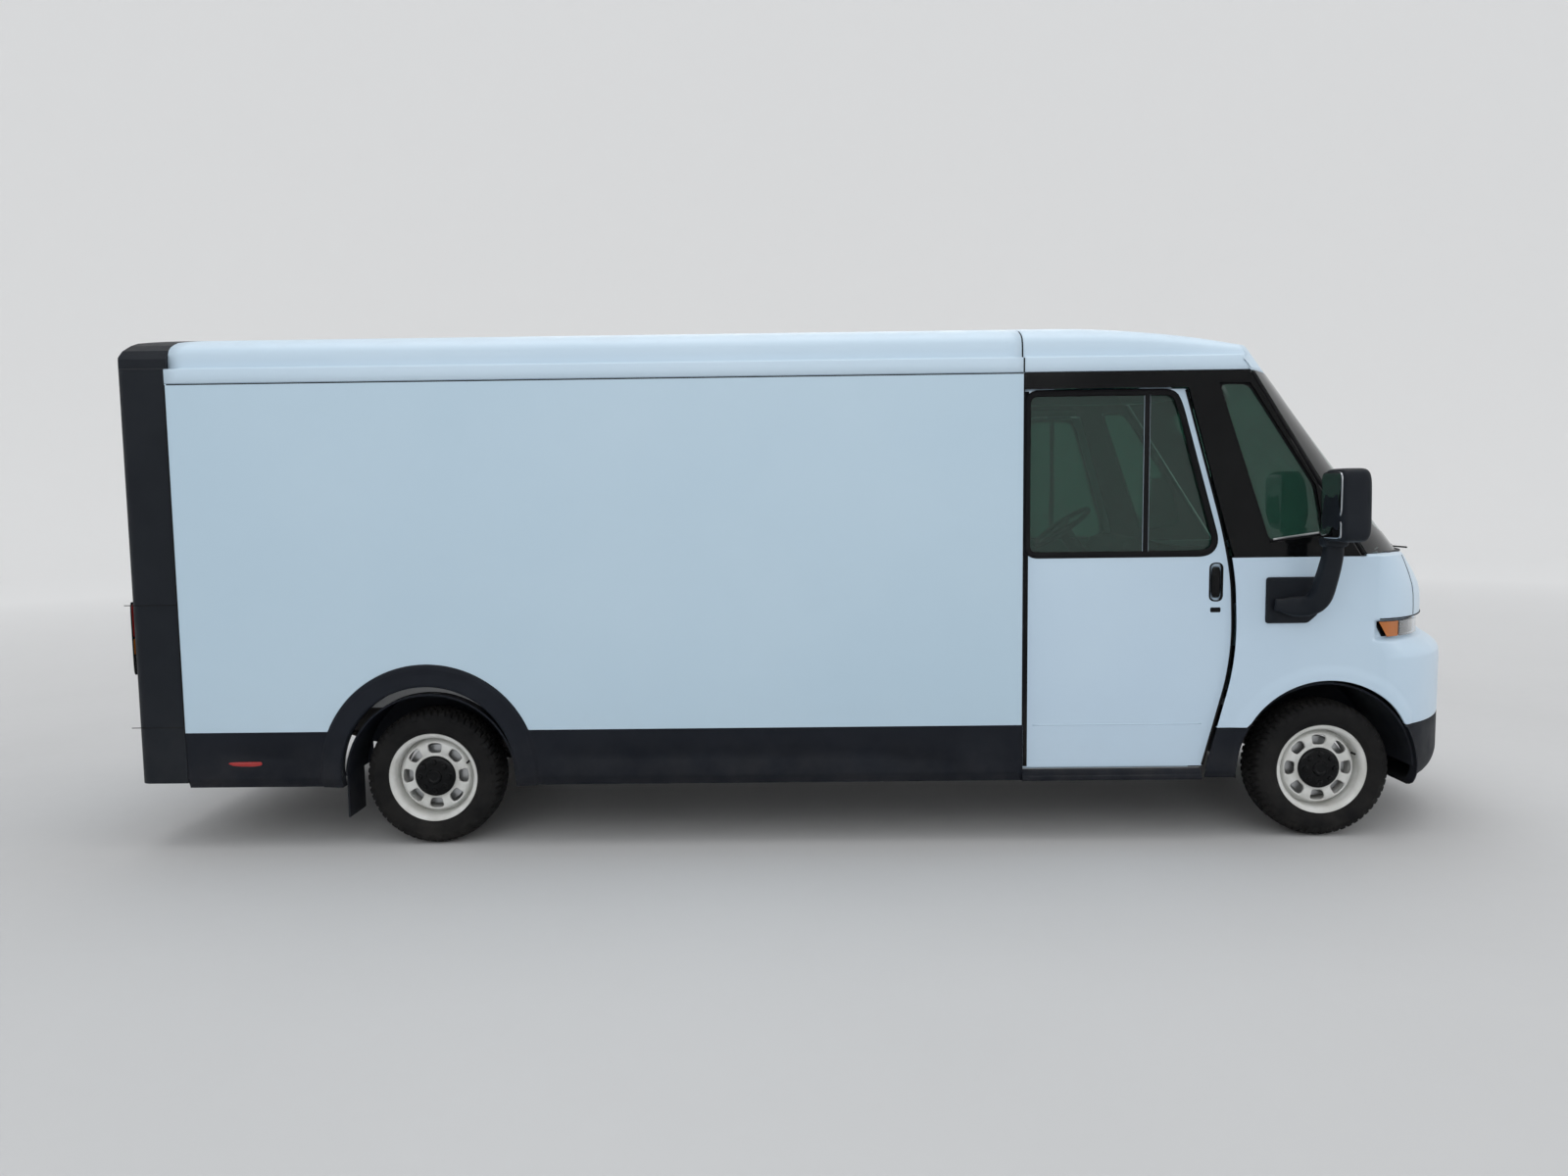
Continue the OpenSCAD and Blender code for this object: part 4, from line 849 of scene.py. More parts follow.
def make_wheels():
    """The four wheels with their tyres, discs, rims, hub covers, valves and brake discs."""
    for end, centre_x in (("front", FRONT_X), ("rear", REAR_X)):
        for side_name, side in SIDES:
            make_tyre(end, side_name, side, centre_x)
            make_wheel_disc(end, side_name, side, centre_x)
            make_rim(end, side_name, side, centre_x)
            make_hub_cover(end, side_name, side, centre_x)
            make_valve(end, side_name, side, centre_x)
            make_brake_disc(end, side_name, side, centre_x)


make_wheels()


# ---------------------------------------- paths and swept sections

def round_corners(corners, radius, steps=8, closed=True):
    """Rounds each corner of a path in a plane: a quadratic arc between points that lie radius away from the
    corner along its two sides, or at most 45 % of a side."""
    corners = np.asarray(corners, float)
    before, after = np.roll(corners, 1, 0), np.roll(corners, -1, 0)
    to_before, to_after = before - corners, after - corners
    length_before = np.linalg.norm(to_before, axis=1, keepdims=True)
    length_after = np.linalg.norm(to_after, axis=1, keepdims=True)
    start = corners + to_before / length_before * np.minimum(radius, 0.45 * length_before)
    end = corners + to_after / length_after * np.minimum(radius, 0.45 * length_after)
    share = np.linspace(0, 1, steps)[None, :, None]
    arcs = ((1 - share) ** 2 * start[:, None] + 2 * share * (1 - share) * corners[:, None]
            + share ** 2 * end[:, None])
    if not closed:
        arcs = arcs.copy()
        arcs[0], arcs[-1] = corners[0], corners[-1]
    return arcs.reshape(-1, corners.shape[1])


def even_steps(path, count, closed=True):
    """The same path with count points at equal distances along it."""
    if closed:
        path = np.concatenate([path, path[:1]])
    gaps = np.linalg.norm(np.diff(path, axis=0), axis=1)
    along = np.concatenate([[0], np.cumsum(gaps)])
    keep = np.concatenate([[True], gaps > 1e-9])
    wanted = np.linspace(0, along[-1], count + 1 if closed else count)
    points = np.stack([np.interp(wanted, along[keep], path[keep][:, k]) for k in range(path.shape[1])],
                      axis=-1)
    return points


def sideways(path, closed=True):
    """Unit vectors square to a flat path, on its left."""
    if closed:
        ahead = np.roll(path[:-1], -1, 0) - np.roll(path[:-1], 1, 0)
        ahead = np.concatenate([ahead, ahead[:1]])
    else:
        ahead = np.gradient(path, axis=0)
    ahead = ahead / np.linalg.norm(ahead, axis=1, keepdims=True)
    return np.stack([-ahead[:, 1], ahead[:, 0]], axis=-1)


def side_band(name, path, section, side, closed=True):
    """A strip on the van's side: a closed section of (across the path, outward Y) points carried along a
    path of (x, z) points."""
    path = np.asarray(path, float)
    off = sideways(path, closed)
    section = np.asarray(section, float)
    section = np.concatenate([section, section[:1]])
    x = path[:, None, 0] + off[:, None, 0] * section[None, :, 0]
    z = path[:, None, 1] + off[:, None, 1] * section[None, :, 0]
    y = side * section[None, :, 1] + 0 * x
    points = grid_points(x, y, z)
    band = surface_piece(name, points, join_u=closed, join_v=True)
    if not closed:
        cap_ends(band)
    return mend_normals(band)


def cap_ends(piece):
    """Closes the open ends of a tube with flat faces."""
    work = bmesh.new()
    work.from_mesh(piece.data)
    open_edges = [e for e in work.edges if e.is_boundary]
    bmesh.ops.holes_fill(work, edges=open_edges, sides=0)
    work.to_mesh(piece.data)
    work.free()


def bead_section(width, low, high, steps=7):
    """A low rounded section: from low at both edges it rises to high on a half superellipse."""
    angle = np.linspace(0, np.pi, steps)
    return np.stack([width / 2 * power_round(angle, 3.0)[0],
                     low + (high - low) * power_round(angle, 3.0)[1]],
                    axis=-1)


def side_patch(name, outline, depth_in, depth_out, side, rings=5, crown=0.0):
    """A flat or crowned plate on the van's side inside a closed (x, z) outline: rings shrink to the middle,
    and the crown rises with one minus the square of the ring's size."""
    outline = np.asarray(outline, float)
    heart = outline[:-1].mean(0)
    size = np.linspace(1, 0, rings)[:, None]
    x = heart[0] + (outline[None, :, 0] - heart[0]) * size
    z = heart[1] + (outline[None, :, 1] - heart[1]) * size
    face = side * (depth_out + crown * (1 - size ** 2)) + 0 * x
    points = grid_points(x, face, z)
    back = grid_points(x[:1], side * depth_in + 0 * x[:1], z[:1])
    base = grid_points(x[::-1], side * depth_in + 0 * x, z[::-1])
    plate = surface_piece(name, np.concatenate([base[:-1], back, points]), join_v=True, smooth=False)
    soften(plate, min(0.003, abs(depth_out - depth_in) / 3))
    return mend_normals(plate)


def soften(piece, width, segments=2, angle=35):
    """Rounds the sharp edges of a piece, then shades it smooth between them."""
    soft = piece.modifiers.new("soft_edges", "BEVEL")
    soft.width = width
    soft.segments = segments
    soft.limit_method = "ANGLE"
    soft.angle_limit = math.radians(angle)
    piece.data.polygons.foreach_set("use_smooth", np.ones(len(piece.data.polygons), bool))
    return piece


def side_rectangle(x0, z0, x1, z1, radius, count=64):
    """A closed rounded rectangle in (x, z)."""
    return even_steps(round_corners([(x0, z0), (x1, z0), (x1, z1), (x0, z1)], radius), count)


# ---------------------------------------- cab shell

def screen_x(across, height):
    """The windshield's surface: it leans back with height and sweeps back with the cube of the distance from
    the middle, less so at the top."""
    wrap = 0.375 + (height - BELT_Z) / (RAIL_Z - BELT_Z) * (0.235 - 0.375)
    return FRONT_X + 0.657 - (height - BELT_Z) * math.tan(SCREEN_LEAN) - wrap * (np.abs(across) / 0.95) ** 3


def door_front_x(height):
    """The front edge of the side door: a smooth curve through its corner points."""
    levels = np.array([0.392, 0.864, 1.066, 1.367, 1.617, 2.326])
    edge = np.array([-0.634, -0.509, -0.489, -0.501, -0.551, -0.752])
    fine = np.linspace(levels[0], levels[-1], 200)
    raw = np.interp(fine, levels, edge)
    soft = np.convolve(np.pad(raw, 10, mode="reflect", reflect_type="odd"), np.ones(21) / 21, mode="valid")
    return FRONT_X + np.interp(height, fine, soft)


ARCH_R, ARCH_Z = 0.468, 0.368
SHELL_LOW = 0.596


def nose_plan(height):
    """How far ahead of the front axle the nose reaches at a height, and where its side starts to turn in:
    the lower nose stands proud, a sloping ledge steps back under the lamps, and the hood rolls back to the
    screen."""
    reach = np.interp(height, [0.560, 0.62, 0.90, 0.945, 0.965, 0.985, 1.005, 1.025, 1.045, 1.12, 1.20, 1.26,
                               1.31,
                               1.36, 1.40, 1.44, 1.471],
                      [0.990, 0.9955, 0.9955, 0.990, 0.977, 0.952, 0.918, 0.880, 0.860, 0.856, 0.856, 0.850,
                       0.832,
                       0.796, 0.760, 0.722, 0.688])
    turn_in = np.interp(height, [0.945, 1.045], [0.280, 0.230])
    return turn_in, reach - turn_in


def nose_point(along, height):
    """A point of the cab's outside. along runs from 0 at the door to 1 at the middle of the nose: the first
    30 % is the flat side, and the rest is a superellipse of power 1.7 in plan, which grows rounder below the
    belt."""
    turn_in, reach = nose_plan(height)
    side_share = 0.34
    start = door_front_x(height) + 0.012
    flat = np.clip(along / side_share, 0, 1)
    angle = (1 - np.clip((along - side_share) / (1 - side_share), 0, 1)) * np.pi / 2
    x = start + (FRONT_X + turn_in - start) * flat
    bend = np.maximum(np.cos(angle), 1e-9) ** (2 / 1.7)
    x = np.where(along > side_share, FRONT_X + turn_in + reach * bend, x)
    y = np.where(along > side_share, BODY_HALF * np.maximum(np.sin(angle), 0.0) ** (2 / 1.7), BODY_HALF)
    return x, y


def lamp_depth(x, y, height):
    """How deep the lamp bay is sunk at a point, a rounded wedge that opens forward."""
    ahead = smooth_step(x, FRONT_X + 0.205, FRONT_X + 0.255) * smooth_step(np.abs(y), 0.42, 0.50)
    return ahead * smooth_step(height, 1.030, 1.052) * (1 - smooth_step(height, 1.134, 1.148))


def make_nose_skin():
    """The cab's painted shell below the belt: for each place along the outline a column runs from the wheel
    arch or the bumper line up to the belt. Round the arch a soft lip stands 7 mm proud, and the lamp bays
    are sunk."""
    half_count = 150
    along = np.linspace(0, 1, half_count)
    rise = np.linspace(0, 1, 110)
    rise = rise[None, :]
    along = along[:, None]
    x, _ = nose_point(along, np.full_like(along, SHELL_LOW))
    for _ in range(4):
        ahead = np.abs(x - FRONT_X)
        arch = ARCH_Z + np.sqrt(np.clip(ARCH_R ** 2 - ahead ** 2, 0, None))
        low = np.where(ahead < ARCH_R, np.maximum(arch, SHELL_LOW), SHELL_LOW)
        x, _ = nose_point(along, low)
    height = low + (BELT_Z - low) * rise
    x, y = nose_point(along + 0 * rise, height)
    radius = np.hypot(x - FRONT_X, height - ARCH_Z)
    lip = 0.006 * (1 - smooth_step(radius, ARCH_R + 0.030, ARCH_R + 0.085)) * (x < FRONT_X + 0.45)
    sink = 0.030 * lamp_depth(x, y, height)
    inward = np.stack([np.clip((x - FRONT_X - 0.23) / 0.6, 0, 1), y / BODY_HALF], axis=-1)
    inward = inward / np.maximum(np.linalg.norm(inward, axis=-1, keepdims=True), 1e-6)
    x = x + inward[..., 0] * (lip - sink)
    y = y + inward[..., 1] * (lip - sink)
    right = grid_points(x, -y, height)
    left = grid_points(x, y, height)[::-1][1:]
    whole = np.concatenate([right, left])
    rim = whole[:, :1].copy()
    rim[..., 1] *= 0.985
    rim[..., 0] -= 0.012 * smooth_step(whole[:, :1, 0], FRONT_X + 0.3, FRONT_X + 0.9)
    skin = surface_piece("cab_shell_skin", np.concatenate([rim, whole], axis=1))
    thicken(skin, 0.006, 0.002)
    finished(skin, "van", "cab_white", FINISH["cab_white"], "cab_body")


def make_hood():
    """The hood top: it fills from the belt line of the nose to the foot of the windshield, and falls
    slightly to its sides. A narrow black cowl runs along the screen."""
    along = np.linspace(0.30, 1, 90)[:, None]
    share = np.linspace(0, 1, 24)[None, :]
    x0, y0 = nose_point(along, np.full_like(along, BELT_Z))
    foot_y = y0 * 0.985
    foot_x = np.minimum(screen_x(foot_y, BELT_Z + 0.004) + 0.004, x0)
    x = x0 + (foot_x - x0) * share
    y = y0 + (foot_y - y0) * share
    z = BELT_Z + 0.010 * np.sin(np.pi / 2 * share) * smooth_step(x0 - foot_x, 0.0, 0.05)
    right = grid_points(x, -y, z + 0 * x)
    left = grid_points(x, y, z + 0 * x)[::-1][1:]
    hood = surface_piece("hood_top", np.concatenate([right, left]))
    thicken(hood, 0.005)
    finished(hood, "van", "cab_white", FINISH["cab_white"])
    seam_share = np.linspace(-1, 1, 91)[:, None]
    y = 0.90 * seam_share
    lift = np.array([0.0, 0.003, 0.006, 0.007, 0.003])[None, :]
    back = np.array([0.026, 0.024, 0.012, 0.003, 0.000])[None, :]
    x = screen_x(y, BELT_Z + 0.006) + back
    cowl = surface_piece("cowl_grille", grid_points(x, y + 0 * x, BELT_Z + 0.008 + lift + 0 * y))
    thicken(cowl, 0.004)
    finished(cowl, "van", "trim_black", FINISH["trim_black"])


def make_windshield():
    """The windshield and its black printed border. Both lie on the screen surface; the border is a ring of
    lines from a rounded opening out to the glass edge, 1.5 mm proud."""
    across = np.linspace(-1.0, 1.0, 90)[:, None]
    up = np.linspace(0, 1, 40)[None, :]
    height = BELT_Z + 0.004 + (RAIL_Z - BELT_Z - 0.006) * up
    y = 1.020 * across
    glass = surface_piece("windshield", grid_points(screen_x(y, height) + 0 * y, y + 0 * height,
                                                    height + 0 * y))
    thicken(glass, 0.006)
    finished(glass, "van", "tinted_glass", FINISH["tinted_glass"], "fixed_glass")
    way = np.linspace(0, 2 * np.pi, 161)[:, None]
    out = np.linspace(0, 1, 7)[None, :]
    square = np.stack([np.cos(way), np.sin(way)])
    square = square / np.abs(square).max(0)
    hole = np.stack(power_round(way, 9.0))
    y = (1 - out) * hole[0] * 0.830 + out * square[0] * 1.022
    middle_z = (BELT_Z + RAIL_Z) / 2
    half_z = (RAIL_Z - BELT_Z) / 2
    height = middle_z + (1 - out) * (hole[1] * (half_z - 0.085) + 0.020) + out * square[1] * (half_z - 0.002)
    border = surface_piece("windshield_border", grid_points(screen_x(y, height) + 0.0022, y, height),
                           join_u=True)
    finished(border, "van", "gloss_black", FINISH["gloss_black"])


QUARTER = np.array([(-0.596, 2.353), (-0.440, 2.351), (-0.098, 1.834), (-0.046, 1.581), (-0.322, 1.545)])


def make_quarter_glass():
    """The fixed quarter panes behind the windshield: dark glass in a rounded five-sided outline, a black
    seal round it, and a thin bright strip along its foot."""
    outline = round_corners(QUARTER + (FRONT_X, 0), 0.045)
    path = even_steps(outline, 120)
    for side_name, side in SIDES:
        pane = side_patch(f"quarter_pane_{side_name}", path, BODY_HALF - 0.020, BODY_HALF - 0.015, side)
        finished(pane, "van", "tinted_glass", FINISH["tinted_glass"])
        seal = side_band(f"quarter_seal_{side_name}", path, bead_section(0.022, BODY_HALF - 0.024,
                                                                       BODY_HALF - 0.0135), side)
        finished(seal, "van", "gloss_black", FINISH["seal"])
        foot = np.array([QUARTER[4] + (0.022, 0.016), QUARTER[3] + (-0.012, 0.014)]) + (FRONT_X, 0)
        strip = side_band(f"quarter_foot_strip_{side_name}", even_steps(foot, 12, closed=False),
                          bead_section(0.012, BODY_HALF - 0.018, BODY_HALF - 0.0125), side, closed=False)
        finished(strip, "van", "track_alu", FINISH["track_alu"])


# ---------------------------------------- roofs and rails

ROOF_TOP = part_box("box_roof")[1].z
RAIL_TOP = RAIL_Z + 0.075


def roof_half_section():
    """Half of the roof's section from the rail's foot to the crown, as (y, z): the flat rail band, a ledge
    in to the cove, the cove's steep wall, a rounded shoulder, and a crown that falls with the square of the
    distance."""
    shoulder = np.array([(BODY_HALF - 0.004, RAIL_Z + 0.0), (BODY_HALF, RAIL_Z + 0.004),
                         (BODY_HALF, RAIL_Z + 0.030), (BODY_HALF, RAIL_TOP - 0.004),
                         (BODY_HALF - 0.004, RAIL_TOP),
                         (BODY_HALF - 0.020, RAIL_TOP + 0.001), (BODY_HALF - 0.034, RAIL_TOP + 0.000),
                         (BODY_HALF - 0.042, RAIL_TOP + 0.004), (BODY_HALF - 0.045, RAIL_TOP + 0.014),
                         (BODY_HALF - 0.046, RAIL_TOP + 0.045), (BODY_HALF - 0.050, RAIL_TOP + 0.075),
                         (BODY_HALF - 0.061, RAIL_TOP + 0.100), (BODY_HALF - 0.080, RAIL_TOP + 0.118),
                         (BODY_HALF - 0.108, RAIL_TOP + 0.133)])
    y = np.linspace(BODY_HALF - 0.15, 0, 30)
    crown = np.stack([y, ROOF_TOP - 0.095 * (y / 0.9) ** 2], axis=-1)
    return np.concatenate([shoulder, crown])


def roof_fall(x):
    """The height of the roof's crown line: level to the front of the box, then down with the power 2.2."""
    return ROOF_TOP - 0.254 * (np.clip(x - (FRONT_X - 1.370), 0, None) / 1.233) ** 2.2


def make_roofs():
    """The box roof is its section drawn straight along the van. The cab roof is the same section, pressed
    down to the falling crown line, its cove running out to the front, and cut off on the windshield's
    surface."""
    half = roof_half_section()
    section = np.concatenate([half * (-1, 1), half[::-1][1:]])
    back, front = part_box("box_roof")[0].x, BOX_FRONT
    x = np.linspace(back, front - 0.004, 60)[:, None]
    points = grid_points(x + 0 * section[None, :, 0], section[None, :, 0] + 0 * x,
                         section[None, :, 1] + 0 * x)
    roof = surface_piece("box_roof_skin", points)
    thicken(roof, 0.006)
    finished(roof, "van", "box_white", FINISH["roof_white"], "box_roof")
    share = np.linspace(0, 1, 80)[:, None]
    y, z = section[None, :, 0], section[None, :, 1]
    end = np.full_like(y, FRONT_X)
    for _ in range(12):
        squeeze = (roof_fall(end) - RAIL_TOP) / (ROOF_TOP - RAIL_TOP)
        high = np.where(z > RAIL_TOP, RAIL_TOP + (z - RAIL_TOP) * squeeze, z)
        end = 0.5 * end + 0.5 * screen_x(y, high)
    start = BOX_FRONT + 0.004
    x = start + (end - start) * share
    squeeze = (roof_fall(x) - RAIL_TOP) / (ROOF_TOP - RAIL_TOP)
    run_out = smooth_step(x, FRONT_X - 1.0, FRONT_X - 0.15)
    cove = (np.abs(y) > BODY_HALF - 0.06) & (z > RAIL_TOP - 0.001)
    filled = np.where(cove, BODY_HALF - 0.012 - 0.30 * np.clip(z - RAIL_TOP, 0, None), np.abs(y))
    wide = np.abs(y) + (np.maximum(filled, np.abs(y)) - np.abs(y)) * run_out
    high = np.where(z > RAIL_TOP, RAIL_TOP + (z - RAIL_TOP) * squeeze, z)
    top = grid_points(x, np.sign(y) * wide, high + 0 * x)
    front_rows = []
    for drop in np.linspace(0, 1, 6)[1:]:
        level = top[-1, :, 2] + (RAIL_Z - top[-1, :, 2]) * drop
        front_rows.append(grid_points(screen_x(top[-1, :, 1], level), top[-1, :, 1], level))
    cab_roof = surface_piece("cab_roof_skin", np.concatenate([top, np.array(front_rows)]))
    thicken(cab_roof, 0.006)
    finished(cab_roof, "van", "cab_white", FINISH["roof_white"], "cab_roof")
    make_roof_joint(section)


def make_roof_joint(section):
    """The dark joint between the box roof and the cab roof, and the painted shadow lines under the rail
    bands.
    """
    inner = section * (0.9985, 1.0) - (0, 0.0015)
    x = np.array([BOX_FRONT - 0.004, BOX_FRONT + 0.004])[:, None]
    points = grid_points(x + 0 * inner[None, :, 0], inner[None, :, 0] + 0 * x, inner[None, :, 1] + 0 * x)
    joint = surface_piece("roof_joint_seal", points)
    thicken(joint, 0.004)
    finished(joint, "van", "trim_black", FINISH["seal"])
    back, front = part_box("box_roof")[0].x + 0.01, FRONT_X - 0.10
    for side_name, side in SIDES:
        # painted shadow: a black bead along each rail band's foot stands in for the shade in the gap beneath
        # it
        path = np.stack([np.linspace(back, BOX_FRONT - 0.002, 30), np.full(30, RAIL_Z - 0.004)], axis=-1)
        painted_shadow_line = side_band(f"rail_shadow_line_{side_name}", path, bead_section(0.009, BODY_HALF - 0.006,
                                                                       BODY_HALF + 0.0008), side,
                        closed=False)
        finished(painted_shadow_line, "van", "trim_black", FINISH["seal"])


make_nose_skin()
make_hood()
make_windshield()
make_quarter_glass()
make_roofs()


# ---------------------------------------- sliding side doors

DOOR_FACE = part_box("side_door_left")[1].y
DOOR_BACK_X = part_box("side_door_right")[0].x
DOOR_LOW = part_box("side_door_right")[0].z + 0.020
DOOR_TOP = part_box("side_door_right")[1].z - 0.034
WINDOW = np.array([(-1.545, 1.492), (-0.620, 1.492), (-0.580, 1.550), (-0.778, 2.248), (-0.812, 2.312),
                   (-1.545, 2.312)])


def dress_door(side_name, side):
    """The rubber and trim of one sliding door, all on the door's body: the window's black surround and seal,
    the divider bar, the edge seals, the pressed crease, the key slot, and the rounded pull in its pocket."""
    body = f"side_door_{side_name}_body"
    face = DOOR_FACE

    def fit(piece, finish, slot):
        return finished(piece, body, slot, FINISH[finish])

    window = even_steps(round_corners(WINDOW + (FRONT_X, 0), 0.055, 10), 200)
    fit(side_band(f"door_window_seal_{side_name}", window, bead_section(0.034, face - 0.004, face + 0.0045),
                  side),
        "seal", "gloss_black")
    split = FRONT_X - 0.942
    bar = np.array([(split, 1.498), (split, 2.306)])
    fit(side_band(f"door_divider_bar_{side_name}", even_steps(bar, 30, closed=False),
                  bead_section(0.030, face - 0.003, face + 0.0035), side, closed=False), "seal",
        "gloss_black")
    height = np.linspace(DOOR_LOW + 0.004, DOOR_TOP - 0.004, 90)
    front_edge = np.stack([door_front_x(height) + 0.001, height], axis=-1)
    fit(side_band(f"door_front_seal_{side_name}", front_edge,
                  bead_section(0.021, face - 0.012, face + 0.001), side,
                  closed=False), "seal", "gloss_black")
    rear_edge = np.stack([np.full(60, DOOR_BACK_X + 0.061),
                          np.linspace(DOOR_LOW + 0.004, DOOR_TOP - 0.004, 60)],
                         axis=-1)
    fit(side_band(f"door_rear_seal_{side_name}", rear_edge, bead_section(0.034, face - 0.010, face + 0.001),
                  side,
                  closed=False), "seal", "gloss_black")
    crease = np.array([(DOOR_BACK_X + 0.10, 0.613), (FRONT_X - 0.640, 0.613)])
    fit(side_band(f"door_crease_{side_name}", even_steps(crease, 30, closed=False),
                  bead_section(0.007, face - 0.004, face + 0.0022), side, closed=False), "cab_white",
        "cab_white")
    slot = side_rectangle(FRONT_X - 0.606, 1.190, FRONT_X - 0.552, 1.216, 0.007, 40)
    fit(side_patch(f"door_key_slot_{side_name}", slot, face - 0.006, face + 0.0015, side), "seal",
        "gloss_black")
    pocket = side_rectangle(FRONT_X - 0.610, 1.250, FRONT_X - 0.546, 1.442, 0.028, 64)
    fit(side_band(f"door_pull_pocket_{side_name}", pocket, bead_section(0.012, face - 0.010, face + 0.002),
                  side),
        "gloss_black", "gloss_black")
    low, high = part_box(f"door_handle_{side_name}")
    pull = superquad(f"door_pull_{side_name}",
                     ((low.x + high.x) / 2, side * (face - 0.004), (low.z + high.z) / 2),
                     ((high.x - low.x) / 2 * 0.96, 0.011, (high.z - low.z) / 2 * 0.99), 4.5, 3.0)
    finished(pull, f"door_handle_{side_name}_body", "gloss_black", FINISH["gloss_black"],
             f"door_handle_{side_name}")


def superquad(name, centre, half, upright=4.0, plan=4.0, rows=41, columns=72, lean=0.0, draft=0.0):
    """A closed rounded box: a superellipsoid with half sizes, a power for its upright section and one for
    its plan. lean shifts X with height, and draft narrows the plan toward the top."""
    lift = np.linspace(-np.pi / 2, np.pi / 2, rows)[:, None]
    turn = np.linspace(0, 2 * np.pi, columns + 1)[None, :]
    cosine, sine = power_round(lift, upright)
    around_x, around_y = power_round(turn, plan)
    narrow = 1 - draft * sine
    x = centre[0] + half[0] * cosine * around_x * narrow + lean * sine
    y = centre[1] + half[1] * cosine * around_y * narrow
    z = centre[2] + half[2] * sine + 0 * turn
    piece = surface_piece(name, grid_points(x, y, z), join_v=True)
    return mend_normals(piece)


def carry_section(name, path, sections):
    """A tube: one closed section for each point of a path, as (sideways, up) offsets square to the path,
    with its ends closed by shrinking to a point."""
    path = np.asarray(path, float)
    ahead = np.gradient(path, axis=0)
    ahead = ahead / np.linalg.norm(ahead, axis=1, keepdims=True)
    right = np.cross(ahead, (0, 1, 0))
    right = right / np.linalg.norm(right, axis=1, keepdims=True)
    up = np.cross(right, ahead)
    rings = path[:, None] + sections[..., :1] * right[:, None] + sections[..., 1:] * up[:, None]
    first = rings[:1].mean(1, keepdims=True) + 0 * rings[:1]
    last = rings[-1:].mean(1, keepdims=True) + 0 * rings[-1:]
    return mend_normals(surface_piece(name, np.concatenate([first, rings, last]), join_v=True))


# ---------------------------------------- door mirrors

def make_mirror(side_name, side):
    """One mirror: a cut-corner base plate, a rounded foot that lies forward along it, a slanted band up to
    the pivot, and a rounded head with a shell rim and two silvered glasses that look back."""
    face = BODY_HALF
    base = np.array([(-0.337, 1.135), (-0.125, 1.135), (-0.074, 1.180), (-0.074, 1.370), (-0.337, 1.370)])
    plate = even_steps(round_corners(base + (FRONT_X, 0), 0.014), 96)
    finished(side_patch(f"mirror_base_{side_name}", plate, face - 0.010, face + 0.012, side, crown=0.003),
             "van",
             "trim_black", FINISH["hoop_black"], "mirror_arms")
    low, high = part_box(f"mirror_head_{side_name}")
    centre = Vector(((low.x + high.x) / 2, (low.y + high.y) / 2, 0))
    head_low, head_high = RAIL_Z - 0.855, RAIL_Z - 0.505
    path = soften_open(np.array([(FRONT_X - 0.300, side * (face + 0.020), 1.232),
                                 (FRONT_X - 0.235, side * (face + 0.045), 1.226),
                                 (FRONT_X - 0.165, side * (face + 0.085), 1.232),
                                 (FRONT_X - 0.125, side * (face + 0.125), 1.275),
                                 (FRONT_X - 0.108, side * (face + 0.160), 1.380),
                                 (FRONT_X - 0.098, side * (face + 0.186), 1.480),
                                 (FRONT_X - 0.095, side * (face + 0.190), 1.540)]), 8)
    count = len(path)
    share = np.linspace(0, 1, count)[:, None]
    ring = np.linspace(0, 2 * np.pi, 33)[None, :]
    across, along = power_round(ring, 3.4)
    wide = 0.030 + 0.020 * smooth_step(share, 0.0, 0.25) - 0.006 * smooth_step(share, 0.5, 1.0)
    deep = 0.034 + 0.012 * np.sin(np.pi * share)
    sections = np.stack([wide * across, deep * along], axis=-1)
    arm = carry_section(f"mirror_arm_{side_name}", path, sections)
    finished(arm, "van", "trim_black", FINISH["hoop_black"])
    body = f"mirror_{side_name}_body"
    middle_y = side * (abs(centre.y))
    head = superquad(f"mirror_shell_{side_name}", (FRONT_X - 0.095, middle_y, (head_low + head_high) / 2),
                     (0.074, 0.123, (head_high - head_low) / 2), 6.0, 5.0, rows=49, draft=0.03)
    finished(head, body, "trim_black", FINISH["hoop_black"], f"mirror_head_{side_name}")
    knuckle = superquad(f"mirror_bracket_{side_name}",
                        (FRONT_X - 0.095, side * (face + 0.190), head_low - 0.004),
                        (0.060, 0.050, 0.030), 3.0, 4.0, rows=21, columns=40)
    finished(knuckle, body, "trim_black", FINISH["hoop_black"])
    back_x = FRONT_X - 0.095 - 0.0745
    for glass_name, z0, z1 in (("main", head_low + 0.115, head_high - 0.018),
                               ("wide_angle", head_low + 0.018, head_low + 0.103)):
        way = np.linspace(0, 2 * np.pi, 73)[None, :]
        size = np.linspace(1, 0, 10)[:, None]
        over, up = power_round(way, 7.0)
        curve = 0.003 if glass_name == "main" else 0.006
        x = back_x + 0.0035 - curve * (1 - size ** 2) * 0.5
        points = grid_points(x + 0 * way, middle_y + 0.098 * size * over,
                             (z0 + z1) / 2 + (z1 - z0) / 2 * size * up)
        rim = points[:1] + (0.006, 0, 0)
        glass = surface_piece(f"mirror_{glass_name}_glass_{side_name}", np.concatenate([rim, points]),
                              join_v=True)
        thicken(glass, 0.002, offset=0.0)
        finished(glass, body, "trim_black", FINISH["mirror"])


def soften_open(points, finer):
    """Runs an open string of points through a Catmull-Rom curve that starts and ends on its end points."""
    padded = np.concatenate([2 * points[:1] - points[1:2], points, 2 * points[-1:] - points[-2:-1]])
    step = (np.arange(finer) / finer)[None, :, None]
    a, b, c, d = (padded[k:len(padded) - 3 + k][:, None] for k in range(4))
    curve = 0.5 * (2 * b + (c - a) * step + (2 * a - 5 * b + 4 * c - d) * step ** 2
                   + (3 * b - a - 3 * c + d) * step ** 3)
    return np.concatenate([curve.reshape(-1, points.shape[1]), points[-1:]])


# ---------------------------------------- sills and wheel flares

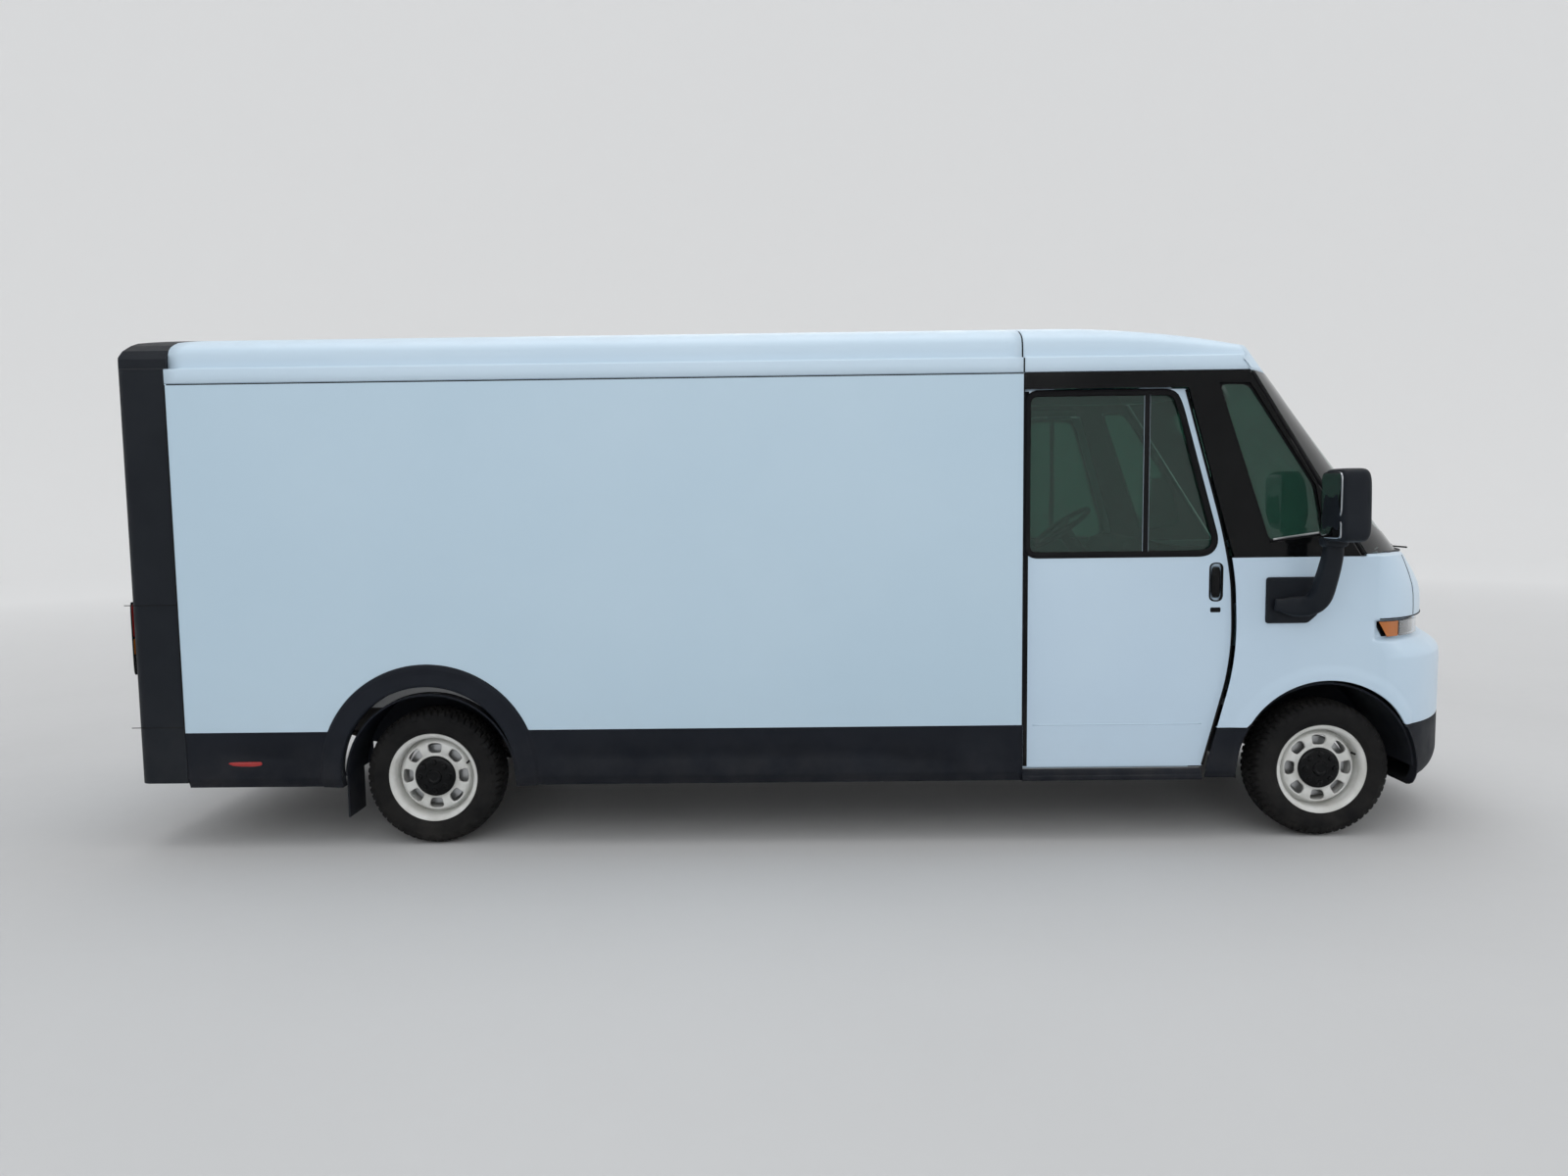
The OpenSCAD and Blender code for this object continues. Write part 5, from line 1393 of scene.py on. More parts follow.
SILL_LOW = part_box("side_trims")[0].z
SILL_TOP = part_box("side_panel_right")[0].z
FLARE_OUT, FLARE_IN, FLARE_Z = 0.567, 0.453, 0.400
FLARE_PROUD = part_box("side_trims")[1].y - BODY_HALF


def cove_line(x):
    """The height of the sill's hollow band: high at the hoop, level along the box, then down under the
    door."""
    return np.interp(x, [-3.30, -3.05, -2.70, -1.30, 0.30, 0.65, 0.80],
                     [0.545, 0.500, 0.475, 0.475, 0.470, 0.420, 0.345])


def make_sill(side_name, side):
    """The long sill with its flare: columns run from the sill's foot or the wheel opening up to the panel's
    edge or the flare's outer circle. The face carries a hollow band and the flare swells round the wheel,
    hollowed between a soft outer roll and a firm inner lip."""
    back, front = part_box("side_trims")[0].x, BOX_FRONT + 0.004
    ring = REAR_X + FLARE_IN * np.cos(np.linspace(np.pi, 0, 90))
    outer = REAR_X + FLARE_OUT * np.cos(np.linspace(np.pi, np.pi * 0.80, 16))
    outer_front = REAR_X + FLARE_OUT * np.cos(np.linspace(np.pi * 0.20, 0, 16))
    x = np.concatenate([np.linspace(back, outer[0], 50), outer[1:], ring[:1] - 1e-5, ring, ring[-1:] + 1e-5,
                        outer_front, np.linspace(outer_front[-1], front, 90)[1:]])
    x = np.sort(x)[:, None]
    away = x - REAR_X
    inside = np.abs(away) < FLARE_IN - 5e-6
    foot = np.where(inside, FLARE_Z + np.sqrt(np.clip(FLARE_IN ** 2 - away ** 2, 0, None)), SILL_LOW)
    head = np.where(np.abs(away) < FLARE_OUT,
                    FLARE_Z + np.sqrt(np.clip(FLARE_OUT ** 2 - away ** 2, 0, None)),
                    SILL_TOP)
    head = np.maximum(head, SILL_TOP)
    rise = np.linspace(0, 1, 46)[None, :]
    z = foot + (head - foot) * rise
    radius = np.where(z > FLARE_Z, np.hypot(away, z - FLARE_Z), np.abs(away))
    across = np.clip((radius - FLARE_IN) / (FLARE_OUT - FLARE_IN), 0, 1)
    swell = FLARE_PROUD * np.interp(across, [0, 0.04, 0.12, 0.30, 0.55, 0.80, 0.93, 1.0],
                                    [0.80, 0.97, 1.0, 0.86, 0.66, 0.55, 0.36, 0.0])
    swell = swell * (np.abs(away) < FLARE_OUT)
    fade = smooth_step(np.abs(away), FLARE_OUT - 0.02, FLARE_OUT + 0.20)
    ends = smooth_step(x, back + 0.05, back + 0.30) * (1 - smooth_step(x, 0.60, 0.82))
    hollow = 0.013 * fade * ends * np.exp(-((z - cove_line(x)) / 0.046) ** 2)
    tuck = 0.020 * (1 - smooth_step(z, SILL_LOW, SILL_LOW + 0.055)) * (~inside)
    y = BODY_HALF - 0.001 + swell - hollow - tuck
    face = grid_points(x, side * y, z)
    foot_row = face[:, :1] - (0, side * 0.050, 0)
    head_row = face[:, -1:] - (0, side * 0.018, 0)
    sheet = np.concatenate([foot_row, face, head_row], axis=1)
    sill = surface_piece(f"side_sill_{side_name}", sheet)
    thicken(sill, 0.004)
    finished(sill, "van", "trim_black", FINISH["trim_black"], "side_trims")


def make_front_sill(side_name, side):
    """The black wedge between the door's front edge and the front wheel opening, with the step's end under
    it."""
    share = np.linspace(0, 1, 26)[:, None]
    rise = np.linspace(0, 1, 24)[None, :]
    z = SILL_LOW + 0.006 + (SHELL_LOW - SILL_LOW - 0.010) * rise
    rear = door_front_x(np.maximum(z, DOOR_LOW)) + 0.012
    reach = np.sqrt(np.clip(ARCH_R ** 2 - (z - ARCH_Z) ** 2, 0, None))
    front = FRONT_X - reach
    x = rear + (front - rear) * share
    tuck = 0.020 * (1 - smooth_step(z, SILL_LOW, SILL_LOW + 0.055))
    lip = 0.006 * smooth_step(share, 0.75, 1.0)
    y = BODY_HALF - 0.001 - tuck + lip
    face = grid_points(x, side * y, z)
    edge = face[-1:] - (0, side * 0.05, 0)
    sheet = surface_piece(f"front_sill_{side_name}", np.concatenate([face, edge]))
    thicken(sheet, 0.004)
    finished(sheet, "van", "trim_black", FINISH["trim_black"])


def make_door_step(side_name, side):
    """The step edge under the side door: a ribbed tread section drawn along the door's foot, with a lower
    lip."""
    section = np.array([(0.985, 0.384), (1.012, 0.384), (1.016, 0.381), (1.022, 0.381), (1.026, 0.377),
                        (1.033, 0.377), (1.040, 0.370), (1.043, 0.360), (1.043, 0.352), (1.050, 0.347),
                        (1.050, 0.330), (1.044, 0.324), (1.020, 0.322), (0.985, 0.322)])
    section = np.concatenate([section, section[:1]])
    x = np.linspace(BOX_FRONT + 0.004, FRONT_X - 0.640, 40)[:, None]
    points = grid_points(x, side * section[None, :, 0], section[None, :, 1])
    step = surface_piece(f"door_step_{side_name}", points, join_v=True, smooth=False)
    cap_ends(step)
    soften(mend_normals(step), 0.0015)
    finished(step, "van", "trim_black", FINISH["trim_black"])


def make_bumper_skin():
    """The lower front bumper: columns drop from the shell line along the nose's plan, roll under on a
    quarter circle, and run back as a flat tray. A shallow mouth with two shelves crosses the middle."""
    along = np.linspace(0.10, 1, 120)[:, None]
    x, y = nose_point(along, np.full_like(along, 0.61))
    ahead = np.clip((x - FRONT_X - 0.28) / 0.716, 0, 1) ** 0.7
    aside = (y / BODY_HALF) ** 0.7
    size = np.hypot(ahead, aside)
    top, foot = SHELL_LOW - 0.004, 0.275
    z = np.concatenate([np.linspace(top, 0.405, 22), foot + 0.130 * np.cos(np.linspace(0.05, np.pi / 2, 16)),
                        np.full(10, foot)])[None, :]
    under = np.concatenate([np.zeros(38), np.linspace(0.02, 0.24, 10)])[None, :]
    drop = np.clip((foot + 0.130 - z) / 0.130, 0, 1)
    roll = 1 - np.sqrt(np.clip(1 - drop ** 2, 0, None))
    mouth = 0.026 * smooth_step(z, 0.395, 0.415) * (1 - smooth_step(z, 0.510, 0.530)) * (
        1 - smooth_step(np.abs(y), 0.52, 0.60))
    px = x - ahead / size * (0.105 * roll + mouth + under)
    py = y - aside / size * (0.060 * roll + mouth + under)
    px = np.maximum(px, FRONT_X + np.sqrt(np.clip(ARCH_R ** 2 - (z - ARCH_Z) ** 2, 0, None)))
    right = grid_points(px, -py, z)
    left = grid_points(px, py, z)[::-1][1:]
    sheet = surface_piece("front_bumper_skin", np.concatenate([right, left]))
    thicken(sheet, 0.006, 0.002)
    finished(sheet, "van", "trim_black", FINISH["trim_black"], "front_bumper")
    for level in (0.435, 0.480):
        across = np.linspace(-0.54, 0.54, 61)
        front = FRONT_X + 0.28 + 0.716 * (1 - (np.abs(across) / BODY_HALF) ** 1.7) ** (1 / 1.7) - 0.012
        bar = run_bead(f"bumper_shelf_{int(level * 1000)}",
                       np.stack([front, across, 0 * across + level], axis=-1),
                       0.009, (0, 0, 1))
        finished(bar, "van", "trim_black", FINISH["gloss_black"])


def run_bead(name, path, radius, hint, squash=1.0):
    """A round bead along a path of points, with closed ends. hint is a direction that the path doesn't
    take."""
    ahead = np.gradient(path, axis=0)
    ahead = ahead / np.linalg.norm(ahead, axis=1, keepdims=True)
    right = np.cross(ahead, hint)
    right = right / np.linalg.norm(right, axis=1, keepdims=True)
    up = np.cross(right, ahead)
    turn = np.linspace(0, 2 * np.pi, 13)[None, :, None]
    ring = path[:, None] + radius * (np.cos(turn) * right[:, None] + squash * np.sin(turn) * up[:, None])
    first, last = path[:1, None] + 0 * ring[:1], path[-1:, None] + 0 * ring[-1:]
    return mend_normals(surface_piece(name, np.concatenate([first, ring, last]), join_v=True))


def make_pillar_seals():
    """The rubber that fills the joint between the windshield's edge and the side frames, and the dark skirts
    that carry each front arch liner down beside the tyre."""
    for side_name, side in SIDES:
        height = np.linspace(BELT_Z + 0.010, RAIL_Z - 0.010, 60)
        path = np.stack([screen_x(np.full(60, 1.026), height) - 0.016, np.full(60, side * 1.026), height],
                        axis=-1)
        finished(run_bead(f"windshield_edge_seal_{side_name}", path, 0.013, (0, 1, 0)), "van", "gloss_black",
                 FINISH["seal"])
        turn = np.linspace(math.radians(172), math.radians(185), 14)[:, None]
        y = side * np.linspace(0.80, 1.040, 12)[None, :]
        skirt = surface_piece(f"front_arch_skirt_{side_name}", grid_points(
            FRONT_X + 0.464 * np.cos(turn) + 0 * y, y + 0 * turn, ARCH_Z + 0.464 * np.sin(turn) + 0 * y),
            heart=(FRONT_X, side * 0.9, ARCH_Z))
        thicken(skirt, 0.003, offset=1.0)
        finished(skirt, "van", "trim_black", FINISH["trim_black"])


def make_wipers():
    """Slim wipers parked along the foot of the windshield: a round spindle cap standing out of the hood, an
    arm that leaves its top and comes down to the glass over the first third, and a thin blade under the
    arm."""
    lean = SCREEN_LEAN
    normal, rising = np.array((math.cos(lean), 0, math.sin(lean))), np.array((-math.sin(lean), 0,
                                                                              math.cos(lean)))
    tilt = Matrix.Rotation(math.radians(90) - lean, 4, "Y")
    for side_name, side in SIDES:
        body = f"wiper_{side_name}_body"
        pivot = np.array((FRONT_X + 0.657 + 0.018 * math.tan(lean), side * 0.060, BELT_Z - 0.018))
        for part, start, end, low, high, off, radius in (("arm", 0.0, 0.300, 0.004, 0.042, 0.022, 0.0055),
                                                         ("blade", 0.110, 0.470, 0.034, 0.012, 0.012,
                                                          0.0045)):
            share = np.linspace(0, 1, 40)[:, None]
            step = smooth_step(share, 0.0, 0.3)
            path = pivot + normal * (high + (off - high) * step) + rising * (low + (0.034 - low) * step)
            path = path + np.array((0, side, 0)) * (start + (end - start) * share)
            finished(run_bead(f"wiper_{part}_{side_name}", path, radius, (0, 0, 1)), body, "trim_black",
                     FINISH["seal"], *([f"wiper_{side_name}"] if part == "arm" else []))
        cap = superquad(f"wiper_cap_{side_name}", (0, 0, 0), (0.013, 0.013, 0.020), 2.6, 2.0, 15, 24)
        cap.data.transform(Matrix.Translation(pivot + normal * 0.026) @ tilt)
        finished(cap, body, "trim_black", FINISH["seal"])


def make_nose_seams():
    """The thin shadow lines of the nose: the shelf line over each lamp bay, and the hood's shut line above
    it."""
    for side_name, side in SIDES:
        along = np.linspace(0.36, 0.80, 60)
        x, y = nose_point(along, np.full(60, 1.149))
        keep = x > FRONT_X + 0.19
        shelf = np.stack([x, side * y, 0 * x + 1.149], axis=-1)[keep]
        finished(run_bead(f"lamp_shelf_line_{side_name}", shelf, 0.0035, (0, 0, 1)), "van", "gloss_black",
                 FINISH["seal"])
        height = np.linspace(1.155, BELT_Z - 0.004, 50)
        share = np.full(50, 0.555)
        x, y = nose_point(share, height)
        finished(run_bead(f"hood_shut_line_{side_name}", np.stack([x, side * y, height], axis=-1), 0.0022,
                          (0, 1, 0)),
                 "van", "gloss_black", FINISH["seal"])


# ---------------------------------------- lamps

def make_front_lamps():
    """The front lamps, in the sunk bays: a dark housing, the amber indicator at the rear with a slanted rear
    edge, the clear lens ahead of it, and a reflector bowl behind the lens."""
    for side_name, side in SIDES:
        for part, start, end, finish, inset in (("housing", 0.228, 0.575, "gloss_black", 0.026),
                                                ("indicator", 0.246, 0.372, "lamp_amber", 0.006),
                                                ("headlamp", 0.378, 0.560, "lamp_clear", 0.004)):
            share = np.linspace(0, 1, 30)[:, None]
            rise = np.linspace(0, 1, 14)[None, :]
            z = 1.056 + 0.078 * rise
            slant = 0.050 * (1 - rise) * (part != "headlamp")
            forward = start + slant + (end - start - slant) * share
            turn_in, reach = nose_plan(z)
            ahead = np.clip((forward - turn_in) / reach, 0, 0.999)
            y = BODY_HALF * (1 - ahead ** 1.7) ** (1 / 1.7)
            slope = np.stack(np.broadcast_arrays(ahead ** 0.7, (y / BODY_HALF) ** 0.7), axis=-1)
            slope = slope / np.linalg.norm(slope, axis=-1, keepdims=True)
            x = FRONT_X + forward - slope[..., 0] * inset
            points = grid_points(x, side * (y - slope[..., 1] * inset), z)
            lens = surface_piece(f"front_{part}_{side_name}", points)
            thicken(lens, 0.003, 0.001)
            finished(lens, "van", "lamp_clear", FINISH[finish],
                     *(["front_lamps"] if part == "headlamp" else []))
        bowl_at = np.array([FRONT_X + 0.470, side * 0.845, 1.095])
        make_bowl(f"headlamp_bowl_{side_name}", bowl_at, (0.82, side * 0.57), 0.036, 0.022)


def make_bowl(name, place, facing, radius, depth):
    """A reflector bowl: a paraboloid whose open end looks along facing."""
    ring = np.linspace(0, 1, 12)[:, None]
    turn = np.linspace(0, 2 * np.pi, 33)[None, :]
    ahead = np.array([facing[0], facing[1], 0.0])
    ahead = ahead / np.linalg.norm(ahead)
    side_way = np.cross((0, 0, 1.0), ahead)
    flat = radius * ring * np.cos(turn), radius * ring * np.sin(turn)
    points = (place - ahead * 0.030 + ahead * depth * (ring ** 2 + 0 * turn)[...,
                                                                             None] + side_way * flat[0][...,
                                                                                                        None]
              + np.array((0, 0, 1.0)) * flat[1][..., None])
    bowl = surface_piece(name, points, join_v=True)
    thicken(bowl, 0.0015, offset=0.0)
    finished(bowl, "van", "lamp_clear", FINISH["mirror"])


def make_rear_lamps():
    """The tall rear lamps: a black bezel, three lens cells in red, amber and clear, each slightly crowned;
    and the red side markers in the sill."""
    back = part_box("rear_frame")[0].x
    for side_name, side in SIDES:
        for part, z0, z1, finish in (("bezel", 0.918, 1.302, "gloss_black"),
                                     ("stop", 1.115, 1.290, "lamp_red"),
                                     ("turn", 1.025, 1.110, "lamp_amber"),
                                     ("reverse", 0.930, 1.020, "lamp_clear")):
            half_y = 0.0215 if part == "bezel" else 0.0165
            depth = 0.004 if part == "bezel" else 0.0065
            shape = superquad(f"rear_{part}_lamp_{side_name}", (back - 0.0005, side * 0.9675, (z0 + z1) / 2),
                              (depth, half_y, (z1 - z0) / 2), 6.0, 5.0, rows=25, columns=40)
            finished(shape, "van", "lamp_red", FINISH[finish], *(["rear_lamps"] if part == "stop" else []))
        marker = side_rectangle(-3.142, 0.433, -2.911, 0.463, 0.012, 60)
        finished(side_patch(f"side_marker_{side_name}", marker, BODY_HALF - 0.030, BODY_HALF - 0.006, side,
                            crown=0.003), "van", "lamp_red", FINISH["lamp_red"])


for side_name, side in SIDES:
    dress_door(side_name, side)
    make_mirror(side_name, side)
    make_sill(side_name, side)
    make_front_sill(side_name, side)
    make_door_step(side_name, side)
make_bumper_skin()
make_nose_seams()
make_pillar_seals()
make_wipers()
make_front_lamps()
make_rear_lamps()


# ---------------------------------------- rear hoop, rear doors and underbody details

def make_hoop_details():
    """Shut lines of the rear hoop: two seams across each side, and a rubber bead where each side panel meets
    it."""
    back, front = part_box("rear_frame")[0].x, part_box("side_panel_right")[0].x
    for side_name, side in SIDES:
        for mark, level in (("upper", 1.290), ("lower", 0.650)):
            path = np.stack(np.broadcast_arrays(np.linspace(back + 0.006, front - 0.004, 30),
                                                side * (BODY_HALF - 0.0005), level), axis=-1)
            finished(run_bead(f"hoop_{mark}_seam_{side_name}", path, 0.0022, (0, 0, 1)), "van",
                     "gloss_black",
                     FINISH["seal"])
        height = np.linspace(SILL_TOP, RAIL_Z - 0.004, 60)
        path = np.stack(np.broadcast_arrays(front - 0.001, side * (BODY_HALF - 0.001), height), axis=-1)
        finished(run_bead(f"panel_rear_bead_{side_name}", path, 0.0045, (0, 1, 0)), "van", "gloss_black",
                 FINISH["seal"])
        path = np.stack(np.broadcast_arrays(BOX_FRONT + 0.001, side * (BODY_HALF - 0.001), height), axis=-1)
        finished(run_bead(f"panel_front_bead_{side_name}", path, 0.0035, (0, 1, 0)), "van", "gloss_black",
                 FINISH["seal"])


def make_rear_door_details():
    """Each rear door has a rubber seal round its edge and a pressed field: a ring of slopes, 5 mm proud, in
    a rounded outline."""
    for side_name, side in SIDES:
        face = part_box("rear_frame")[0].x
        body = f"rear_door_{side_name}_body"
        y_in, y_out = 0.006, 0.880
        middle_y, half_y = side * (y_in + y_out) / 2, (y_out - y_in) / 2
        middle_z, half_z = (0.744 + 2.394) / 2, (2.394 - 0.744) / 2
        turn = np.linspace(0, 2 * np.pi, 241)
        across, up = power_round(turn, 24.0)
        path = np.stack(np.broadcast_arrays(face - 0.001, middle_y + (half_y - 0.006) * across,
                                            middle_z + (half_z - 0.006) * up), axis=-1)
        seal = surface_piece(f"rear_door_seal_{side_name}", loop_tube(path, 0.0055), join_u=True,
                             join_v=True)
        finished(mend_normals(seal), body, "gloss_black", FINISH["seal"])
        for mark, centre, tall in (("upper", 1.985, 0.300), ("lower", 1.160, 0.330)):
            size = np.array([1.0, 0.995, 0.97, 0.955, 0.95, 0.6, 0.3, 0.0])[:, None]
            lift = np.array([-0.002, 0.0, 0.003, 0.0045, 0.005, 0.005, 0.005, 0.005])[:, None]
            over, rise = power_round(np.linspace(0, 2 * np.pi, 121)[None, :], 14.0)
            points = grid_points(face + 0.001 - lift + 0 * over, middle_y + (half_y - 0.085) * size * over,
                                 centre + tall * size * rise)
            field = surface_piece(f"rear_door_{mark}_field_{side_name}", points, join_v=True,
                                  heart=(face + 1.0, middle_y, centre))
            thicken(field, 0.002)
            finished(field, body, "box_white", FINISH["box_white"])


def loop_tube(path, radius):
    """Rings of points round a closed loop that lies in a plane of constant X."""
    ahead = np.roll(path[:-1], -1, axis=0) - np.roll(path[:-1], 1, axis=0)
    ahead = ahead / np.linalg.norm(ahead, axis=1, keepdims=True)
    out = np.cross(ahead, (1.0, 0, 0))
    turn = np.linspace(0, 2 * np.pi, 11)[None, :, None]
    ring = path[:-1, None] + radius * (np.cos(turn) * out[:, None] + np.sin(turn) * np.array((1.0, 0, 0)))
    return np.concatenate([ring, ring[:1]])


def make_underbody():
    """What shows under the sills: two ribbed guards that run along the sides of the battery."""
    low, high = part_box("battery_pack")
    for side_name, side in SIDES:
        x = np.linspace(low.x + 0.05, high.x - 0.05, 160)[:, None]
        section = np.linspace(-1, 1, 21)[None, :]
        rib = 0.006 * (0.5 + 0.5 * np.cos(2 * np.pi * x / 0.11)) * (np.abs(section) < 0.8)
        z = (low.z + high.z) / 2 + section * (high.z - low.z) * 0.36
        y = side * (high.y + 0.002 + rib - 0.010 * np.abs(section) ** 6)
        guard = surface_piece(f"battery_guard_{side_name}", grid_points(x + 0 * z, y, z + 0 * x))
        thicken(guard, 0.003)
        finished(guard, "van", "battery_grey", FINISH["battery_grey"])


make_hoop_details()
make_rear_door_details()
make_underbody()


# ---------------------------------------- seats

def puff(piece, low, high, limit):
    """Swells a pad as a closed cloth skin under inner pressure for 20 steps, keeps each point within a limit
    of its start and inside its space, and subdivides the result once."""
    voxel = piece.modifiers.new("even_skin", "REMESH")
    voxel.mode = "VOXEL"
    voxel.voxel_size = 0.006
    keep_result(piece)
    start = coordinates(piece.data)
    cloth = piece.modifiers.new("swelling", "CLOTH")
    cloth.settings.quality = 4
    cloth.settings.use_pressure = True
    cloth.settings.uniform_pressure_force = 4.0
    cloth.settings.effector_weights.gravity = 0.0
    for step in range(1, 21):
        bpy.context.scene.frame_set(step)
    keep_result(piece)
    bpy.context.scene.frame_set(1)
    move = coordinates(piece.data) - start
    far = np.linalg.norm(move, axis=1, keepdims=True)
    place = start + move * np.minimum(1.0, limit / np.maximum(far, 1e-9))
    place = np.clip(place, low, high)
    piece.data.vertices.foreach_set("co", place.ravel())
    piece.data.update()
    finer = piece.modifiers.new("finer", "SUBSURF")
    finer.levels = finer.render_levels = 1
    return piece


def keep_result(piece):
    """Makes the mesh that the live modifiers give the piece's own mesh."""
    made = bpy.data.meshes.new_from_object(piece.evaluated_get(bpy.context.evaluated_depsgraph_get()))
    piece.modifiers.clear()
    old = piece.data
    made.name = old.name
    piece.data = made
    bpy.data.meshes.remove(old)
    made.polygons.foreach_set("use_smooth", np.ones(len(made.polygons), bool))


def coordinates(mesh):
    """The mesh's points as an array."""
    flat = np.empty(len(mesh.vertices) * 3)
    mesh.vertices.foreach_get("co", flat)
    return flat.reshape(-1, 3)


def sew(piece, across, centre, spacing, count, depth, face_axis, middle):
    """Presses sewn channels into one face of a pad: along lines at even spacing, each point on the face side
    of the middle sinks by a narrow bell of the distance to its line."""
    place = coordinates(piece.data)
    away = place[:, across] - centre
    lines = (np.arange(count) - (count - 1) / 2) * spacing
    dip = np.exp(-((away[:, None] - lines) / 0.007) ** 2).sum(1)
    side = np.clip((place[:, face_axis] - middle) / 0.02, 0, 1)
    place[:, face_axis] -= depth * dip * side
    piece.data.vertices.foreach_set("co", place.ravel())
    piece.data.update()


def make_pad(name, centre, half, channels, body, cloth_limit, turn=None):
    """A stuffed pad, swollen and sewn, with a piping bead round its middle. Its face is +Z, or +X if it
    stands. turn leans it after it is made."""
    across, face_axis, spacing, count = channels
    start = superquad(name, centre, tuple(h - 0.008 for h in half), 4.0, 5.0, rows=45, columns=120)
    low, high = np.array(centre) - half, np.array(centre) + half
    puff(start, low, high, cloth_limit)
    sew(start, across, centre[across], spacing, count, 0.008, face_axis,
        centre[face_axis] + half[face_axis] * 0.2)
    way = np.linspace(0, 2 * np.pi, 161)
    first, second = power_round(way, 5.0)
    path = np.zeros((161, 3)) + np.array(centre)
    flat_axes = [axis for axis in (0, 1, 2) if axis != face_axis]
    path[:, flat_axes[0]] += (half[flat_axes[0]] - 0.006) * first
    path[:, flat_axes[1]] += (half[flat_axes[1]] - 0.006) * second
    ahead = np.roll(path[:-1], -1, axis=0) - np.roll(path[:-1], 1, axis=0)
    ahead = ahead / np.linalg.norm(ahead, axis=1, keepdims=True)
    up = np.eye(3)[face_axis]
    out = np.cross(ahead, up)
    spin = np.linspace(0, 2 * np.pi, 11)[None, :, None]
    ring = path[:-1, None] + 0.0042 * (np.cos(spin) * out[:, None] + np.sin(spin) * up)
    piping = mend_normals(surface_piece(f"{name}_piping", np.concatenate([ring, ring[:1]]), join_u=True,
                                        join_v=True))
    for piece in (start, piping):
        if turn is not None:
            piece.data.transform(turn)
        finished(piece, body, "seat_fabric", FINISH["seat_fabric"])
    return start


def place_solid(name, centre, half, power, body, finish, slot, turn=None, plan=None):
    """A small rounded solid on a body, leaned by turn if it is given."""
    piece = superquad(name, centre, half, power, plan or power, rows=21, columns=40)
    if turn is not None:
        piece.data.transform(turn)
    finished(piece, body, slot, FINISH[finish])
    return piece


